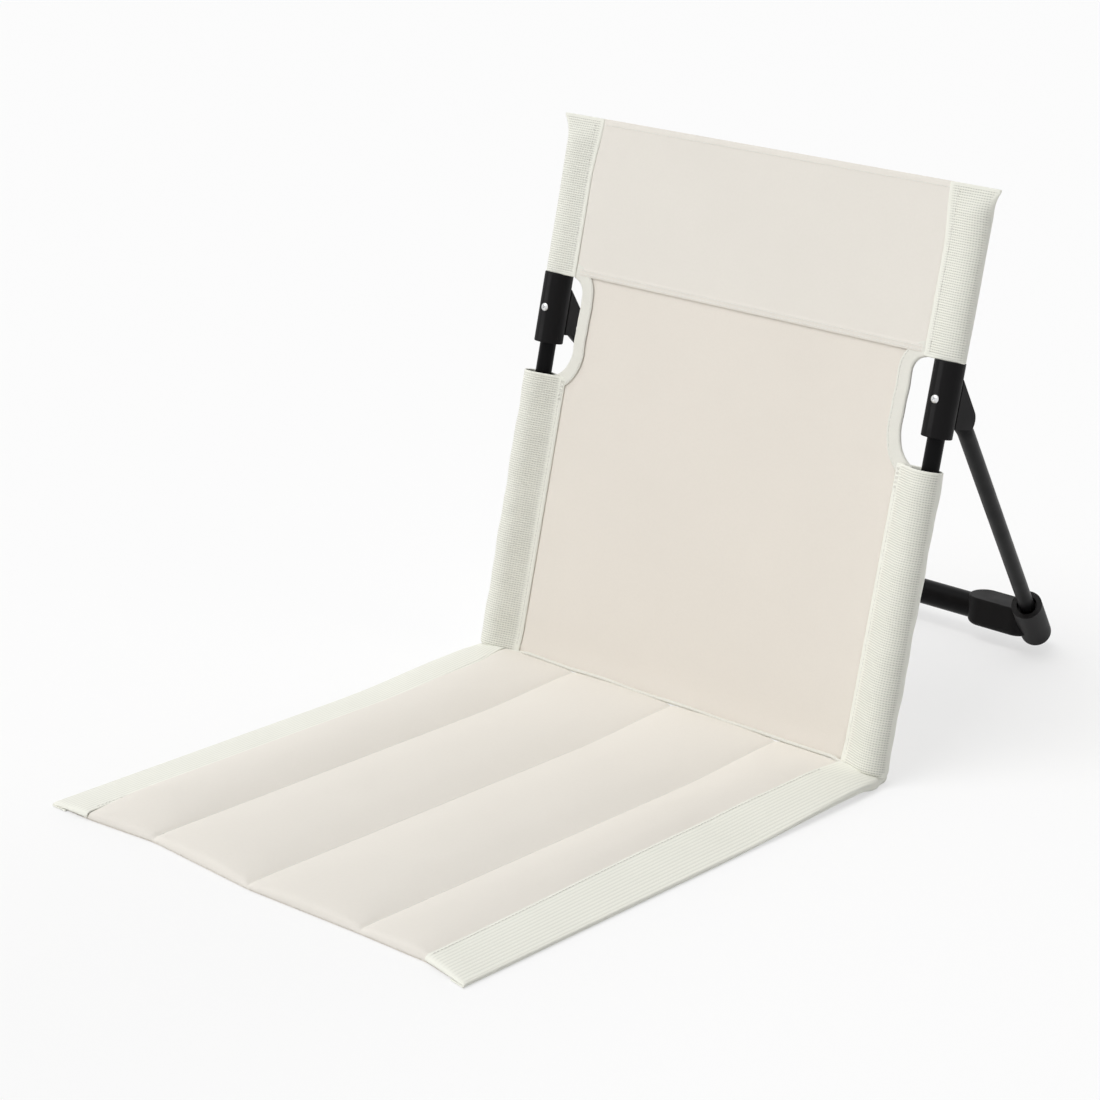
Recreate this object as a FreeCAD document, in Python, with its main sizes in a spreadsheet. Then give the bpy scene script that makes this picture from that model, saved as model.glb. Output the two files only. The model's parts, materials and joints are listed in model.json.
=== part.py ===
"""Legless folding chair: a padded seat mat, a cloth back on two uprights and a folding rear prop.

X points to the right of a person who faces the chair, Y to the rear and Z up.  The origin lies on
the floor, midway between the points where the axes of the two uprights meet it.  Millimetres.
"""
import FreeCAD, Part
import math
import os
import re

import Sketcher

# Driving sizes, each set by itself (millimetres and degrees).
SIZES = {
    # Seat mat
    "seat_width": 400,
    "seat_depth": 448,
    "seat_tail": 9,
    "cover_thick": 0.9,
    "cloth_gap": 0.1,
    "webbing_thick": 1.2,
    "webbing_width": 40,
    "webbing_under": 14,
    "webbing_top": 4.3,
    "webbing_rear": 13,
    "seam_x": 101,
    "seam_z": 5.6,
    "crown_rise": 6.4,
    "edge_rise": 3.4,
    "end_rise": 1.6,
    "end_taper": 26,
    "foam_skin": 1.2,
    "foam_side": 1.6,
    "foam_gap": 0.3,
    # Fold line between the seat and the back
    "hinge_z": 10,
    "hinge_front": 5,
    "piping_dia": 3,
    # Back
    "lean": 12,
    "back_height": 438,
    "panel_front": 3,
    "panel_foot": 10.6,
    "headrest_low": 315,
    "hem_width": 8,
    "bay_reach": 30,
    "bay_corner": 13,
    "bay_curve": 27,
    "binding_width": 10.5,
    "binding_thick": 2.2,
    # Sleeves of ribbed webbing
    "sleeve_wall": 1.7,
    "sleeve_ease": 0.4,
    "sleeve_low": 4,
    "sleeve_sole": 1.5,
    "lower_sleeve_top": 233,
    "lower_flange": 14,
    "upper_loop_out": 12.5,
    "upper_loop_in": 13,
    "upper_flange": 20,
    "flange_thick": 2.4,
    "ear_out": 21,
    "ear_rise": 22,
    # Uprights
    "upright_inset": 13,
    "upright_dia": 13,
    "upright_wall": 1.2,
    "upright_top": 410,
    "cap_thick": 1.5,
    "plug_length": 12,
    "plug_fit": 0.05,
    # Hinge brackets
    "bracket_low": 257,
    "bracket_length": 56,
    "bracket_dia": 23,
    "bracket_fit": 0.15,
    "bracket_edge": 0.8,
    "pivot_rise": 14,
    "pivot_back": 23,
    "hood_drop": 12,
    "hood_foot": 7.5,
    "hood_wall": 2.2,
    "cheek_thick": 2.6,
    "slot_gap": 0.3,
    "pin_dia": 5,
    "pin_run": 0.05,
    "pin_fit": 0.02,
    "pin_skin": 1.2,
    "rivet_rise": 28,
    "rivet_dia": 3.2,
    "rivet_head_dia": 6.4,
    "rivet_head_thick": 1.3,
    "rivet_hole_dia": 2.2,
    "rivet_hole_depth": 1.6,
    "rivet_tail": 3,
    # Rear prop
    "open_angle": 57.5,
    "leg_dia": 12.5,
    "leg_wall": 1.2,
    "leg_head": 5,
    "leg_bend_at": 16,
    "leg_bend_radius": 34,
    "foot_inset": 69.5,
    "arm_rise": 25,
    "arm_deep": 28,
    "arm_tall": 25,
    "arm_round": 5,
    "arm_edge": 1.2,
    "arm_length": 60.5,
    "socket_dia": 25,
    "socket_rise": 33,
    "socket_round": 4,
    "leg_seat": 3,
    "leg_fit": 0.12,
    "mouth_gap": 2,
    "mouth_depth": 5,
    "bar_dia": 21,
    "bar_wall": 1.2,
    "bar_seat": 34,
    "bar_fit": 0.12,
}

# Sizes that follow from the driving ones.
DERIVED = {
    "seat_half": "seat_width / 2",
    "upright_x": "seat_half - upright_inset",
    "bay_x": "upright_x - bay_reach",
    "foot_x": "upright_x - foot_inset",
    "cover_low": "webbing_thick + cloth_gap",
    "cover_side_top": "webbing_top - webbing_thick - cloth_gap",
    "cover_side": "seat_half - webbing_thick - cloth_gap",
    "cover_edge": "seat_half - webbing_width - cloth_gap",
    "hinge_along": "(hinge_z - hinge_front * sin(lean)) / cos(lean)",
    "hinge_y": "hinge_along * sin(lean) - hinge_front * cos(lean)",
    "cover_rear": "piping_dia / 2 + foam_gap - hinge_y",
    "upright_r": "upright_dia / 2",
    "upright_low": "sleeve_low + sleeve_sole + cap_thick + cloth_gap",
    "sleeve_bore": "upright_r + sleeve_ease",
    "sleeve_r": "sleeve_bore + sleeve_wall",
    "upper_sleeve_low": "bracket_low + bracket_length + bracket_fit",
    "lower_edge": "upright_x - lower_flange - cloth_gap",
    "upper_edge": "upright_x - upper_flange - cloth_gap",
    "bay_inner": "bay_x - binding_width",
    "bay_top": "upper_sleeve_low - bay_corner",
    "bay_foot": "lower_sleeve_top + bay_curve",
    "headrest_back": "panel_front + binding_thick / 2 + cloth_gap",
    "bracket_r": "bracket_dia / 2",
    "pivot_along": "bracket_low + pivot_rise",
    "pivot_y": "pivot_along * sin(lean) + pivot_back * cos(lean)",
    "pivot_z": "pivot_along * cos(lean) - pivot_back * sin(lean)",
    "leg_r": "leg_dia / 2",
    "slot_half": "leg_r + slot_gap",
    "slot_reach": "sqrt(leg_head ^ 2 + leg_r ^ 2) + slot_gap",
    "slot_back": "sqrt(slot_reach ^ 2 - slot_half ^ 2)",
    "hood_r": "slot_reach + hood_wall",
    "hood_half": "slot_half + cheek_thick",
    "hood_root": "upright_r + bracket_fit + (bracket_r - upright_r) / 3",
    "hood_top": "bracket_low + bracket_length - hood_drop",
    "hood_low": "bracket_low + hood_foot",
    "hood_span": "sqrt((pivot_back - hood_root) ^ 2 + (hood_top - pivot_along) ^ 2)",
    "hood_turn": "90 deg + atan((pivot_back - hood_root) / (hood_top - pivot_along))"
                 " - acos(hood_r / hood_span)",
    "hood_tip": "pivot_back + sqrt(hood_r ^ 2 - (pivot_along - hood_low) ^ 2)",
    "pin_r": "pin_dia / 2",
    "rivet_along": "bracket_low + rivet_rise",
    "prop_tilt": "open_angle - lean",
    "prop_drop": "(pivot_z - arm_rise) / cos(prop_tilt)",
    "foot_y": "pivot_y + prop_drop * sin(prop_tilt)",
    "splay": "atan((upright_x - foot_x) / (prop_drop - leg_bend_at))",
    "bend_reach": "leg_bend_radius * tan(splay / 2)",
    "leg_run": "(prop_drop - leg_bend_at) / cos(splay) - leg_seat",
    "socket_r": "socket_dia / 2",
    "leg_upright": "cos(prop_tilt) * cos(splay)",
    "socket_heel": "(arm_rise - socket_round - (socket_r - socket_round) * sqrt(1 - leg_upright ^ 2))"
                   " / leg_upright",
    "bar_r": "bar_dia / 2",
    "bar_half": "foot_x - arm_length + bar_seat - bar_fit",
}

SIDES = {"left": -1, "right": 1}

doc = FreeCAD.newDocument("folding_floor_chair")
sheet = doc.addObject("Spreadsheet::Sheet", "sizes")
sub_parts = []


def fill_sheet():
    """Write every size into the sheet, one row each, with its name as the alias."""
    rows = [(name, str(value)) for name, value in SIZES.items()]
    rows += [(name, "=" + formula) for name, formula in DERIVED.items()]
    for row, (name, text) in enumerate(rows, start=1):
        sheet.set(f"A{row}", name)
        sheet.set(f"B{row}", text)
        sheet.setAlias(f"B{row}", name)
    doc.recompute()


def cell(formula):
    """The formula with every size named in it turned into a reference to the sheet."""
    def refer(match):
        word = match.group(0)
        return f"sizes.{word}" if word in SIZES or word in DERIVED else word
    return re.sub(r"[a-z][a-z_]*", refer, formula)


def number(formula):
    """The present value of a formula of sizes."""
    return float(sheet.evalExpression(cell(formula)))


def bind(thing, **formulas):
    """Tie properties of an object to formulas of sizes; a double underscore stands for a dot."""
    for name, formula in formulas.items():
        thing.setExpression(name.replace("__", "."), cell(formula))


def signed(side, formula):
    """The formula, turned to the other side of the middle plane for the left side."""
    return formula if side > 0 else f"-({formula})"


# Bodies and the two leaning frames that most pieces are drawn in

def new_body(label):
    """A body whose label names the piece."""
    body = doc.addObject("PartDesign::Body", label)
    body.Label = label
    sub_parts.append(body)
    return body


def place(body, x="0", y="0", z="0", axis=(1, 0, 0), angle="0"):
    """Put a body's own frame at a point, turned about the X axis."""
    start = max(number(angle), 0.001)
    body.Placement = FreeCAD.Placement(FreeCAD.Vector(), FreeCAD.Rotation(FreeCAD.Vector(*axis), start))
    bind(body, Placement__Base__x=x, Placement__Base__y=y, Placement__Base__z=z)
    if angle != "0":
        bind(body, Placement__Rotation__Angle=angle)


def back_body(label, x="0"):
    """A body drawn upright, in the frame that leans back with the uprights."""
    body = new_body(label)
    place(body, x=x, axis=(-1, 0, 0), angle="lean")
    return body


def prop_body(label, x, y, z):
    """A body drawn in the plane of the rear prop."""
    body = new_body(label)
    place(body, x=x, y=y, z=z, angle="prop_tilt")
    return body


# Sketches and features

def new_sketch(body, plane, name, offset=("0", "0", "0"), axis=None, angle="0"):
    """A sketch on one of the body's own planes, moved or turned by formulas."""
    sketch = body.newObject("Sketcher::SketchObject", f"{body.Name}_{name}")
    planes = {feature.Role: feature for feature in body.Origin.OriginFeatures}
    sketch.AttachmentSupport = [(planes[plane], "")]
    sketch.MapMode = "FlatFace"
    if axis:
        turn = FreeCAD.Rotation(FreeCAD.Vector(*axis), max(number(angle), 0.001))
        sketch.AttachmentOffset = FreeCAD.Placement(FreeCAD.Vector(), turn)
        bind(sketch, AttachmentOffset__Rotation__Angle=angle)
    for letter, formula in zip("xyz", offset):
        if formula != "0":
            bind(sketch, **{f"AttachmentOffset__Base__{letter}": formula})
    return sketch


def dimension(sketch, kind, place_on, formula):
    """One dimension of a sketch, tied to a formula."""
    index = sketch.addConstraint(Sketcher.Constraint(kind, *place_on, number(formula)))
    sketch.setExpression(f"Constraints[{index}]", cell(formula))


def fix_point(sketch, geometry, position, x, y):
    """Fix a point of a sketch at two formulas from the sketch's origin."""
    dimension(sketch, "DistanceX", (-1, 1, geometry, position), x)
    dimension(sketch, "DistanceY", (-1, 1, geometry, position), y)


def circle(sketch, radius, x="0", y="0"):
    """A circle of a sketch."""
    centre = FreeCAD.Vector(number(x), number(y), 0)
    index = sketch.addGeometry(Part.Circle(centre, FreeCAD.Vector(0, 0, 1), number(radius)), False)
    fix_point(sketch, index, 3, x, y)
    dimension(sketch, "Radius", (index,), radius)


def arc_between(start, end, radius):
    """The arc of less than half a circle that runs counter-clockwise from start to end."""
    chord = end - start
    rise = math.sqrt(max(radius ** 2 - chord.Length ** 2 / 4, 0))
    left = FreeCAD.Vector(-chord.y, chord.x, 0).normalize()
    centre = (start + end) * 0.5 + left * rise
    full = Part.Circle(centre, FreeCAD.Vector(0, 0, 1), radius)
    return Part.ArcOfCircle(full, full.parameter(start), full.parameter(end))


def outline(sketch, corners, closed=True):
    """Lines and arcs through corners.

    A corner is (x, y), or (x, y, way, radius) where an arc leads on to the next corner.  The way is
    "out" for an arc that turns counter-clockwise and "in" for one that turns clockwise.
    """
    points = [FreeCAD.Vector(number(corner[0]), number(corner[1]), 0) for corner in corners]
    count = len(corners)
    segments = []
    for index in range(count if closed else count - 1):
        start = points[index]
        end = points[(index + 1) % count]
        way = corners[index][2] if len(corners[index]) > 2 else "straight"
        if way == "straight":
            geometry = Part.LineSegment(start, end)
        elif way == "out":
            geometry = arc_between(start, end, number(corners[index][3]))
        else:
            geometry = arc_between(end, start, number(corners[index][3]))
        ends = (2, 1) if way == "in" else (1, 2)
        segments.append((sketch.addGeometry(geometry, False), *ends))
    for index, (geometry, first, last) in enumerate(segments):
        if closed or index + 1 < len(segments):
            following = segments[(index + 1) % len(segments)]
            meeting = (geometry, last, following[0], following[1])
            sketch.addConstraint(Sketcher.Constraint("Coincident", *meeting))
        fix_point(sketch, geometry, first, corners[index][0], corners[index][1])
        if len(corners[index]) > 2:
            dimension(sketch, "Radius", (geometry,), corners[index][3])
    if not closed:
        geometry, first, last = segments[-1]
        fix_point(sketch, geometry, last, corners[-1][0], corners[-1][1])


def mirrored(corners):
    """The same outline on the other side of the vertical axis, still counter-clockwise."""
    count = len(corners)
    flipped = []
    for index in range(count):
        corner = corners[count - 1 - index]
        before = corners[(count - 2 - index) % count]
        flipped.append((f"-({corner[0]})", corner[1], *before[2:]))
    return flipped


def rectangle(sketch, x_low, x_high, y_low, y_high):
    """A rectangle between four formulas."""
    outline(sketch, [(x_low, y_low), (x_high, y_low), (x_high, y_high), (x_low, y_high)])


def extrude(body, kind, sketch, length, reverse=False, both=False):
    """A pad or pocket of a sketch; with both, the length is shared by the two sides."""
    feature = body.newObject(f"PartDesign::{kind}", f"{sketch.Name}_{kind.lower()}")
    feature.Profile = sketch
    bind(feature, Length=length)
    feature.Reversed = reverse
    if both:
        feature.SideType = "Symmetric"
    body.Tip = feature
    return feature


def pad(body, sketch, length, **options):
    """A pad of a sketch."""
    return extrude(body, "Pad", sketch, length, **options)


def pocket(body, sketch, length, **options):
    """A pocket of a sketch, checked to have taken material away."""
    doc.recompute()
    before = body.Tip.Shape.Volume
    feature = extrude(body, "Pocket", sketch, length, **options)
    doc.recompute()
    if feature.Shape.Volume > before - 0.01:
        raise ValueError(f"{feature.Name} cuts nothing")
    return feature


def revolve(body, sketch, axis="V_Axis"):
    """A full turn of a half profile about one of its sketch's axes."""
    feature = body.newObject("PartDesign::Revolution", f"{sketch.Name}_turned")
    feature.Profile = sketch
    feature.ReferenceAxis = (sketch, [axis])
    feature.Angle = 360
    body.Tip = feature
    return feature


def round_edges(body, radius, chosen):
    """Round the edges of the body's last feature that the test picks."""
    doc.recompute()
    base = body.Tip
    names = [f"Edge{index}" for index, edge in enumerate(base.Shape.Edges, start=1) if chosen(edge)]
    feature = body.newObject("PartDesign::Fillet", f"{base.Name}_rounded")
    feature.Base = (base, names)
    bind(feature, Radius=radius)
    body.Tip = feature
    return feature


def tube(body, plane, outer, wall, length, offset=("0", "0", "0"), both=False):
    """A straight round tube."""
    sketch = new_sketch(body, plane, "tube", offset)
    circle(sketch, outer)
    circle(sketch, f"{outer} - {wall}")
    return pad(body, sketch, length, both=both)


# Uprights

def make_upright(name, side):
    """One steel upright with the hole for its bracket's rivet."""
    body = back_body(f"{name}_upright", signed(side, "upright_x"))
    length = "upright_top - upright_low"
    tube(body, "XY_Plane", "upright_r", "upright_wall", length, ("0", "0", "upright_low"))
    hole = new_sketch(body, "XZ_Plane", "rivet_hole")
    circle(hole, "rivet_dia / 2 + pin_fit", y="rivet_along")
    pocket(body, hole, "upright_dia", reverse=True)


def make_end_cap(name, side, end):
    """A plastic cap pushed into one end of an upright: a rounded head and a plug."""
    body = back_body(f"{name}_upright_{end}_cap", signed(side, "upright_x"))
    half = new_sketch(body, "XZ_Plane", "half")
    plug = "upright_r - upright_wall - plug_fit"
    seat = "upright_low" if end == "foot" else "upright_top"
    way = -1 if end == "foot" else 1
    corners = [
        ("0", f"{seat} + {way} * cap_thick"),
        ("upright_r - cap_thick", f"{seat} + {way} * cap_thick", "out", "cap_thick"),
        ("upright_r", seat),
        (plug, seat),
        (plug, f"{seat} - {way} * plug_length"),
        ("0", f"{seat} - {way} * plug_length"),
    ]
    if end == "top":
        corners[1] = (*corners[1][:2], "in", "cap_thick")
    outline(half, corners)
    revolve(body, half)


# Hinge brackets

def make_bracket(name, side):
    """A moulded bracket: a barrel round the upright and a slotted hood that holds the leg's head."""
    body = back_body(f"{name}_hinge_bracket", signed(side, "upright_x"))
    barrel = new_sketch(body, "XY_Plane", "barrel", ("0", "0", "bracket_low"))
    circle(barrel, "bracket_r")
    pad(body, barrel, "bracket_length")
    barrel_edge = number("bracket_r")
    round_edges(body, "bracket_edge", lambda edge: len(edge.Vertexes) == 1 and edge.Length > barrel_edge)

    hood = new_sketch(body, "YZ_Plane", "hood")
    outline(hood, [
        ("hood_root", "hood_low"),
        ("hood_tip", "hood_low", "out", "hood_r"),
        ("pivot_back + hood_r * cos(hood_turn)", "pivot_along + hood_r * sin(hood_turn)"),
        ("hood_root", "hood_top"),
    ])
    pad(body, hood, "2 * hood_half", both=True)
    cheek = number("hood_half")
    outer_wall = number("bracket_r") + 1
    round_edges(body, "bracket_edge", lambda edge: all(
        abs(abs(vertex.X) - cheek) < 0.01 and vertex.Y > outer_wall for vertex in edge.Vertexes))

    bore = new_sketch(body, "XY_Plane", "bore", ("0", "0", "bracket_low"))
    circle(bore, "upright_r + bracket_fit")
    pocket(body, bore, "bracket_length", reverse=True)
    cut_leg_slot(body)
    pin_bore = new_sketch(body, "YZ_Plane", "pin_bore", ("0", "0", signed(side, "hood_half - pin_skin")))
    circle(pin_bore, "pin_r + pin_fit", "pivot_back", "pivot_along")
    pocket(body, pin_bore, "2 * hood_half", reverse=side < 0)
    rivet_hole = new_sketch(body, "XZ_Plane", "rivet_hole")
    circle(rivet_hole, "rivet_dia / 2 + pin_fit", y="rivet_along")
    pocket(body, rivet_hole, "bracket_dia", reverse=True)


def cut_leg_slot(body):
    """The slot that the leg's head turns in; the lip above the leg stops it when the prop is open.

    The slot holds a circle round the pivot and the leg's way from open, at the open angle to the
    upright, to folded, straight down along it.
    """
    slot = new_sketch(body, "YZ_Plane", "slot")
    reach = "2 * hood_r"
    rear = f"pivot_back + {reach} * sin(open_angle) + slot_half * cos(open_angle)"
    outline(slot, [
        (rear, f"pivot_along - {reach} * cos(open_angle) + slot_half * sin(open_angle)"),
        ("pivot_back + slot_back * sin(open_angle) + slot_half * cos(open_angle)",
         "pivot_along - slot_back * cos(open_angle) + slot_half * sin(open_angle)", "out", "slot_reach"),
        ("pivot_back", "pivot_along + slot_reach", "out", "slot_reach"),
        ("pivot_back - slot_half", "pivot_along - slot_back"),
        ("pivot_back - slot_half", f"pivot_along - {reach}"),
        (rear, f"pivot_along - {reach}"),
    ])
    pocket(body, slot, "2 * slot_half", both=True)


def make_hinge_pin(name, side):
    """A steel pin pressed into the bracket from its inner side, on which the leg turns."""
    body = back_body(f"{name}_hinge_pin", signed(side, "upright_x"))
    pin = new_sketch(body, "YZ_Plane", "pin", ("0", "0", signed(side, "-hood_half")))
    circle(pin, "pin_r", "pivot_back", "pivot_along")
    pad(body, pin, "2 * hood_half - pin_skin - pin_fit", reverse=side < 0)


def make_bracket_rivet(name, side):
    """A blind rivet through the bracket's barrel and the upright's front wall."""
    body = back_body(f"{name}_bracket_rivet", signed(side, "upright_x"))
    half = new_sketch(body, "XY_Plane", "half", ("0", "0", "rivet_along"))
    head = "-bracket_r - rivet_head_thick"
    tail = "-upright_r + upright_wall + rivet_tail"
    outline(half, [
        ("rivet_hole_dia / 2", head),
        ("rivet_hole_dia / 2 + rivet_head_thick / 2", head, "out", "rivet_head_dia / 2"),
        ("rivet_head_dia / 2", "-bracket_r"),
        ("rivet_dia / 2", "-bracket_r"),
        ("rivet_dia / 2", tail),
        ("0", tail),
        ("0", f"{head} + rivet_hole_depth"),
        ("rivet_hole_dia / 2", f"{head} + rivet_hole_depth"),
    ])
    revolve(body, half)


# Sleeves of ribbed webbing on the uprights

def bore_sleeve(body, low, high):
    """The room for the upright inside a sleeve."""
    bore = new_sketch(body, "XY_Plane", "bore", ("0", "0", low))
    circle(bore, "sleeve_bore")
    pocket(body, bore, f"{high} - ({low})", reverse=True)


def add_flange(body, side, reach, root, low, high):
    """The flat sewn strip that joins a sleeve to the back panel."""
    flange = new_sketch(body, "XY_Plane", "flange", ("0", "0", low))
    corners = [
        (f"-{reach}", "-panel_front - flange_thick / 2"),
        (f"-({root})", "-panel_front - flange_thick / 2"),
        (f"-({root})", "-panel_front + flange_thick / 2"),
        (f"-{reach}", "-panel_front + flange_thick / 2"),
    ]
    outline(flange, corners if side > 0 else mirrored(corners))
    pad(body, flange, f"{high} - ({low})")


def make_lower_sleeve(name, side):
    """The close sleeve from the seat up to the cut-out, closed below the upright's foot."""
    body = back_body(f"{name}_lower_sleeve", signed(side, "upright_x"))
    loop = new_sketch(body, "XY_Plane", "loop", ("0", "0", "sleeve_low"))
    circle(loop, "sleeve_r")
    pad(body, loop, "lower_sleeve_top - sleeve_low")
    add_flange(body, side, "lower_flange", "sleeve_bore", "sleeve_low", "lower_sleeve_top")
    bore_sleeve(body, "sleeve_low + sleeve_sole", "lower_sleeve_top")


def loop_section(body, side, name, height, x_in, x_out, half, middle):
    """A flattened loop: two straight sides with quarter rounds at both ends."""
    section = new_sketch(body, "XY_Plane", name, ("0", "0", height))
    corners = [
        (f"-{x_in} + {half}", f"{middle} - {half}"),
        (f"{x_out} - {half}", f"{middle} - {half}", "out", half),
        (x_out, middle, "out", half),
        (f"{x_out} - {half}", f"{middle} + {half}"),
        (f"-{x_in} + {half}", f"{middle} + {half}", "out", half),
        (f"-{x_in}", middle, "out", half),
    ]
    outline(section, corners if side > 0 else mirrored(corners))
    return section


def make_upper_sleeve(name, side):
    """The loose sleeve over the upright's top, sewn flat above it into a pointed ear."""
    body = back_body(f"{name}_upper_sleeve", signed(side, "upright_x"))
    shoulder = "back_height - ear_rise"
    loop = ("upper_loop_in", "upper_loop_out", "sleeve_r", "0")
    mouth = loop_section(body, side, "mouth", "upper_sleeve_low", *loop)
    pad(body, mouth, f"{shoulder} - upper_sleeve_low")
    ear = body.newObject("PartDesign::AdditiveLoft", f"{body.Name}_ear")
    ear.Profile = loop_section(body, side, "shoulder", shoulder, *loop)
    flat = ("upper_flange", "ear_out", "flange_thick / 2", "-panel_front")
    top = loop_section(body, side, "top", "back_height", *flat)
    ear.Sections = [(top, [""])]
    ear.Ruled = True
    body.Tip = ear
    add_flange(body, side, "upper_flange", "sleeve_bore", "upper_sleeve_low", "back_height")
    bore_sleeve(body, "upper_sleeve_low", "upright_top + cap_thick + cloth_gap")


# Back cloth

def back_sheet(label, front, corners, thick):
    """A flat sheet of the back; its front face lies at the given distance before the uprights."""
    body = back_body(label)
    sketch = new_sketch(body, "XZ_Plane", "sheet", ("0", "0", front))
    outline(sketch, corners)
    pad(body, sketch, thick, reverse=True)
    return body


def make_back_panel():
    """The cloth between the uprights, with a bay on each side where the brackets show."""
    right = [
        ("lower_edge", "panel_foot"),
        ("lower_edge", "lower_sleeve_top - binding_width", "in", "bay_curve + binding_width"),
        ("bay_inner", "bay_foot"),
        ("bay_inner", "bay_top", "in", "bay_corner + binding_width"),
        ("upper_edge", "upper_sleeve_low + binding_width"),
        ("upper_edge", "back_height"),
    ]
    back_sheet("back_panel", "panel_front + cover_thick / 2", right + mirrored(right), "cover_thick")


def make_cutout_binding(name, side):
    """The bound edge of one bay, from the mouth of the upper sleeve to the top of the lower one."""
    corners = [
        ("upper_edge", "upper_sleeve_low + binding_width", "out", "bay_corner + binding_width"),
        ("bay_inner + cloth_gap", "bay_top"),
        ("bay_inner + cloth_gap", "bay_foot", "out", "bay_curve + binding_width"),
        ("lower_edge", "lower_sleeve_top - binding_width + cloth_gap"),
        ("lower_edge", "lower_sleeve_top", "in", "bay_curve"),
        ("bay_x", "bay_foot"),
        ("bay_x", "bay_top", "in", "bay_corner"),
        ("upper_edge", "upper_sleeve_low"),
    ]
    shape = corners if side > 0 else mirrored(corners)
    back_sheet(f"{name}_cutout_binding", "panel_front + binding_thick / 2", shape, "binding_thick")


def make_headrest_panel():
    """The second layer of cloth before the top of the back, with a turned hem along its foot."""
    front = "headrest_back + cover_thick"
    right = [("upper_edge", "headrest_low"), ("upper_edge", "back_height")]
    body = back_sheet("headrest_panel", front, right + mirrored(right), "cover_thick")
    hem = new_sketch(body, "XZ_Plane", "hem", ("0", "0", front))
    rectangle(hem, "-upper_edge", "upper_edge", "headrest_low", "headrest_low + hem_width")
    pad(body, hem, "cover_thick")


def make_seam_piping():
    """The round piping along the fold between the seat and the back."""
    body = new_body("seat_seam_piping")
    cord = new_sketch(body, "YZ_Plane", "cord")
    circle(cord, "piping_dia / 2", "hinge_y", "hinge_z")
    pad(body, cord, "2 * lower_edge - 2 * cloth_gap", both=True)


# Seat mat

def crown_radius(width, rise):
    """The radius of an arc of a given width and rise."""
    return f"(({width}) ^ 2 / 4 + ({rise}) ^ 2) / (2 * ({rise}))"


def seat_section(body, name, y, seam, middle_rise, side_rise):
    """The section of the top cover across the seat: four crowned channels between flat borders."""
    section = new_sketch(body, "XZ_Plane", name, ("0", "0", f"-({y})"))
    border = f"webbing_top + cloth_gap - (seam_z - ({seam})) / 2"
    slope = "cover_edge - seam_x"
    right = [
        ("cover_side", "cover_low"),
        ("cover_side", "cover_side_top"),
        ("cover_edge", "cover_side_top"),
        ("cover_edge", border, "out", crown_radius(slope, side_rise)),
        ("seam_x", seam, "out", crown_radius("seam_x", middle_rise)),
        ("0", seam, "out", crown_radius("seam_x", middle_rise)),
        ("-seam_x", seam, "out", crown_radius(slope, side_rise)),
        ("-cover_edge", border),
        ("-cover_edge", "cover_side_top"),
        ("-cover_side", "cover_side_top"),
        ("-cover_side", "cover_low"),
    ]
    outline(section, right)
    return section


def make_seat_top_cover():
    """The quilted top of the mat, drawn in at its ends, level with the piping at the rear."""
    body = new_body("seat_top_cover")
    stations = [
        seat_section(body, "front", "-seat_depth", "seam_z - end_rise / 2", "end_rise", "end_rise"),
        seat_section(body, "front_full", "-seat_depth + end_taper", "seam_z", "crown_rise", "edge_rise"),
        seat_section(body, "rear_full", "-cover_rear - end_taper", "seam_z", "crown_rise", "edge_rise"),
        seat_section(body, "rear", "-cover_rear", "hinge_z - piping_dia / 2", "end_rise", "end_rise"),
    ]
    loft = body.newObject("PartDesign::AdditiveLoft", "seat_top_cover_form")
    loft.Profile = stations[0]
    loft.Sections = [(station, [""]) for station in stations[1:]]
    loft.Ruled = True
    body.Tip = loft
    rooms = new_sketch(body, "XZ_Plane", "rooms", ("0", "0", "cover_rear + end_taper"))
    foam_sections(rooms, "0", "cover_low - 1")
    pocket(body, rooms, "seat_depth - cover_rear - 2 * end_taper", reverse=True)


def foam_sections(sketch, gap, low):
    """The four foam strips in section, drawn in by a gap from the rooms that hold them."""
    side = "cover_low + foam_side"
    spans = [
        ("seam_x", "cover_edge", "edge_rise"),
        ("0", "seam_x", "crown_rise"),
        ("-seam_x", "0", "crown_rise"),
        ("-cover_edge", "-seam_x", "edge_rise"),
    ]
    for left, right, rise in spans:
        start = f"{left} + foam_skin + {gap}"
        end = f"{right} - foam_skin - {gap}"
        corners = [
            (start, low),
            (end, low),
            (end, f"{side} - {gap}", "out", crown_radius(f"{end} - ({start})", rise)),
            (start, f"{side} - {gap}"),
        ]
        outline(sketch, corners)


def make_seat_foam():
    """Four strips of foam, one in each channel of the seat."""
    body = new_body("seat_foam_strips")
    strips = new_sketch(body, "XZ_Plane", "strips", ("0", "0", "cover_rear + end_taper + foam_gap"))
    foam_sections(strips, "foam_gap", "cover_low")
    pad(body, strips, "seat_depth - cover_rear - 2 * end_taper - 2 * foam_gap")


def make_seat_bottom_cover():
    """The flat cloth under the mat, which lies on the floor."""
    body = new_body("seat_bottom_cover")
    sheet_outline = new_sketch(body, "XY_Plane", "sheet")
    edge = "seat_half - webbing_under - cloth_gap"
    rectangle(sheet_outline, f"-({edge})", edge, "-seat_depth", "seat_tail")
    pad(body, sheet_outline, "cover_thick")


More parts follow.
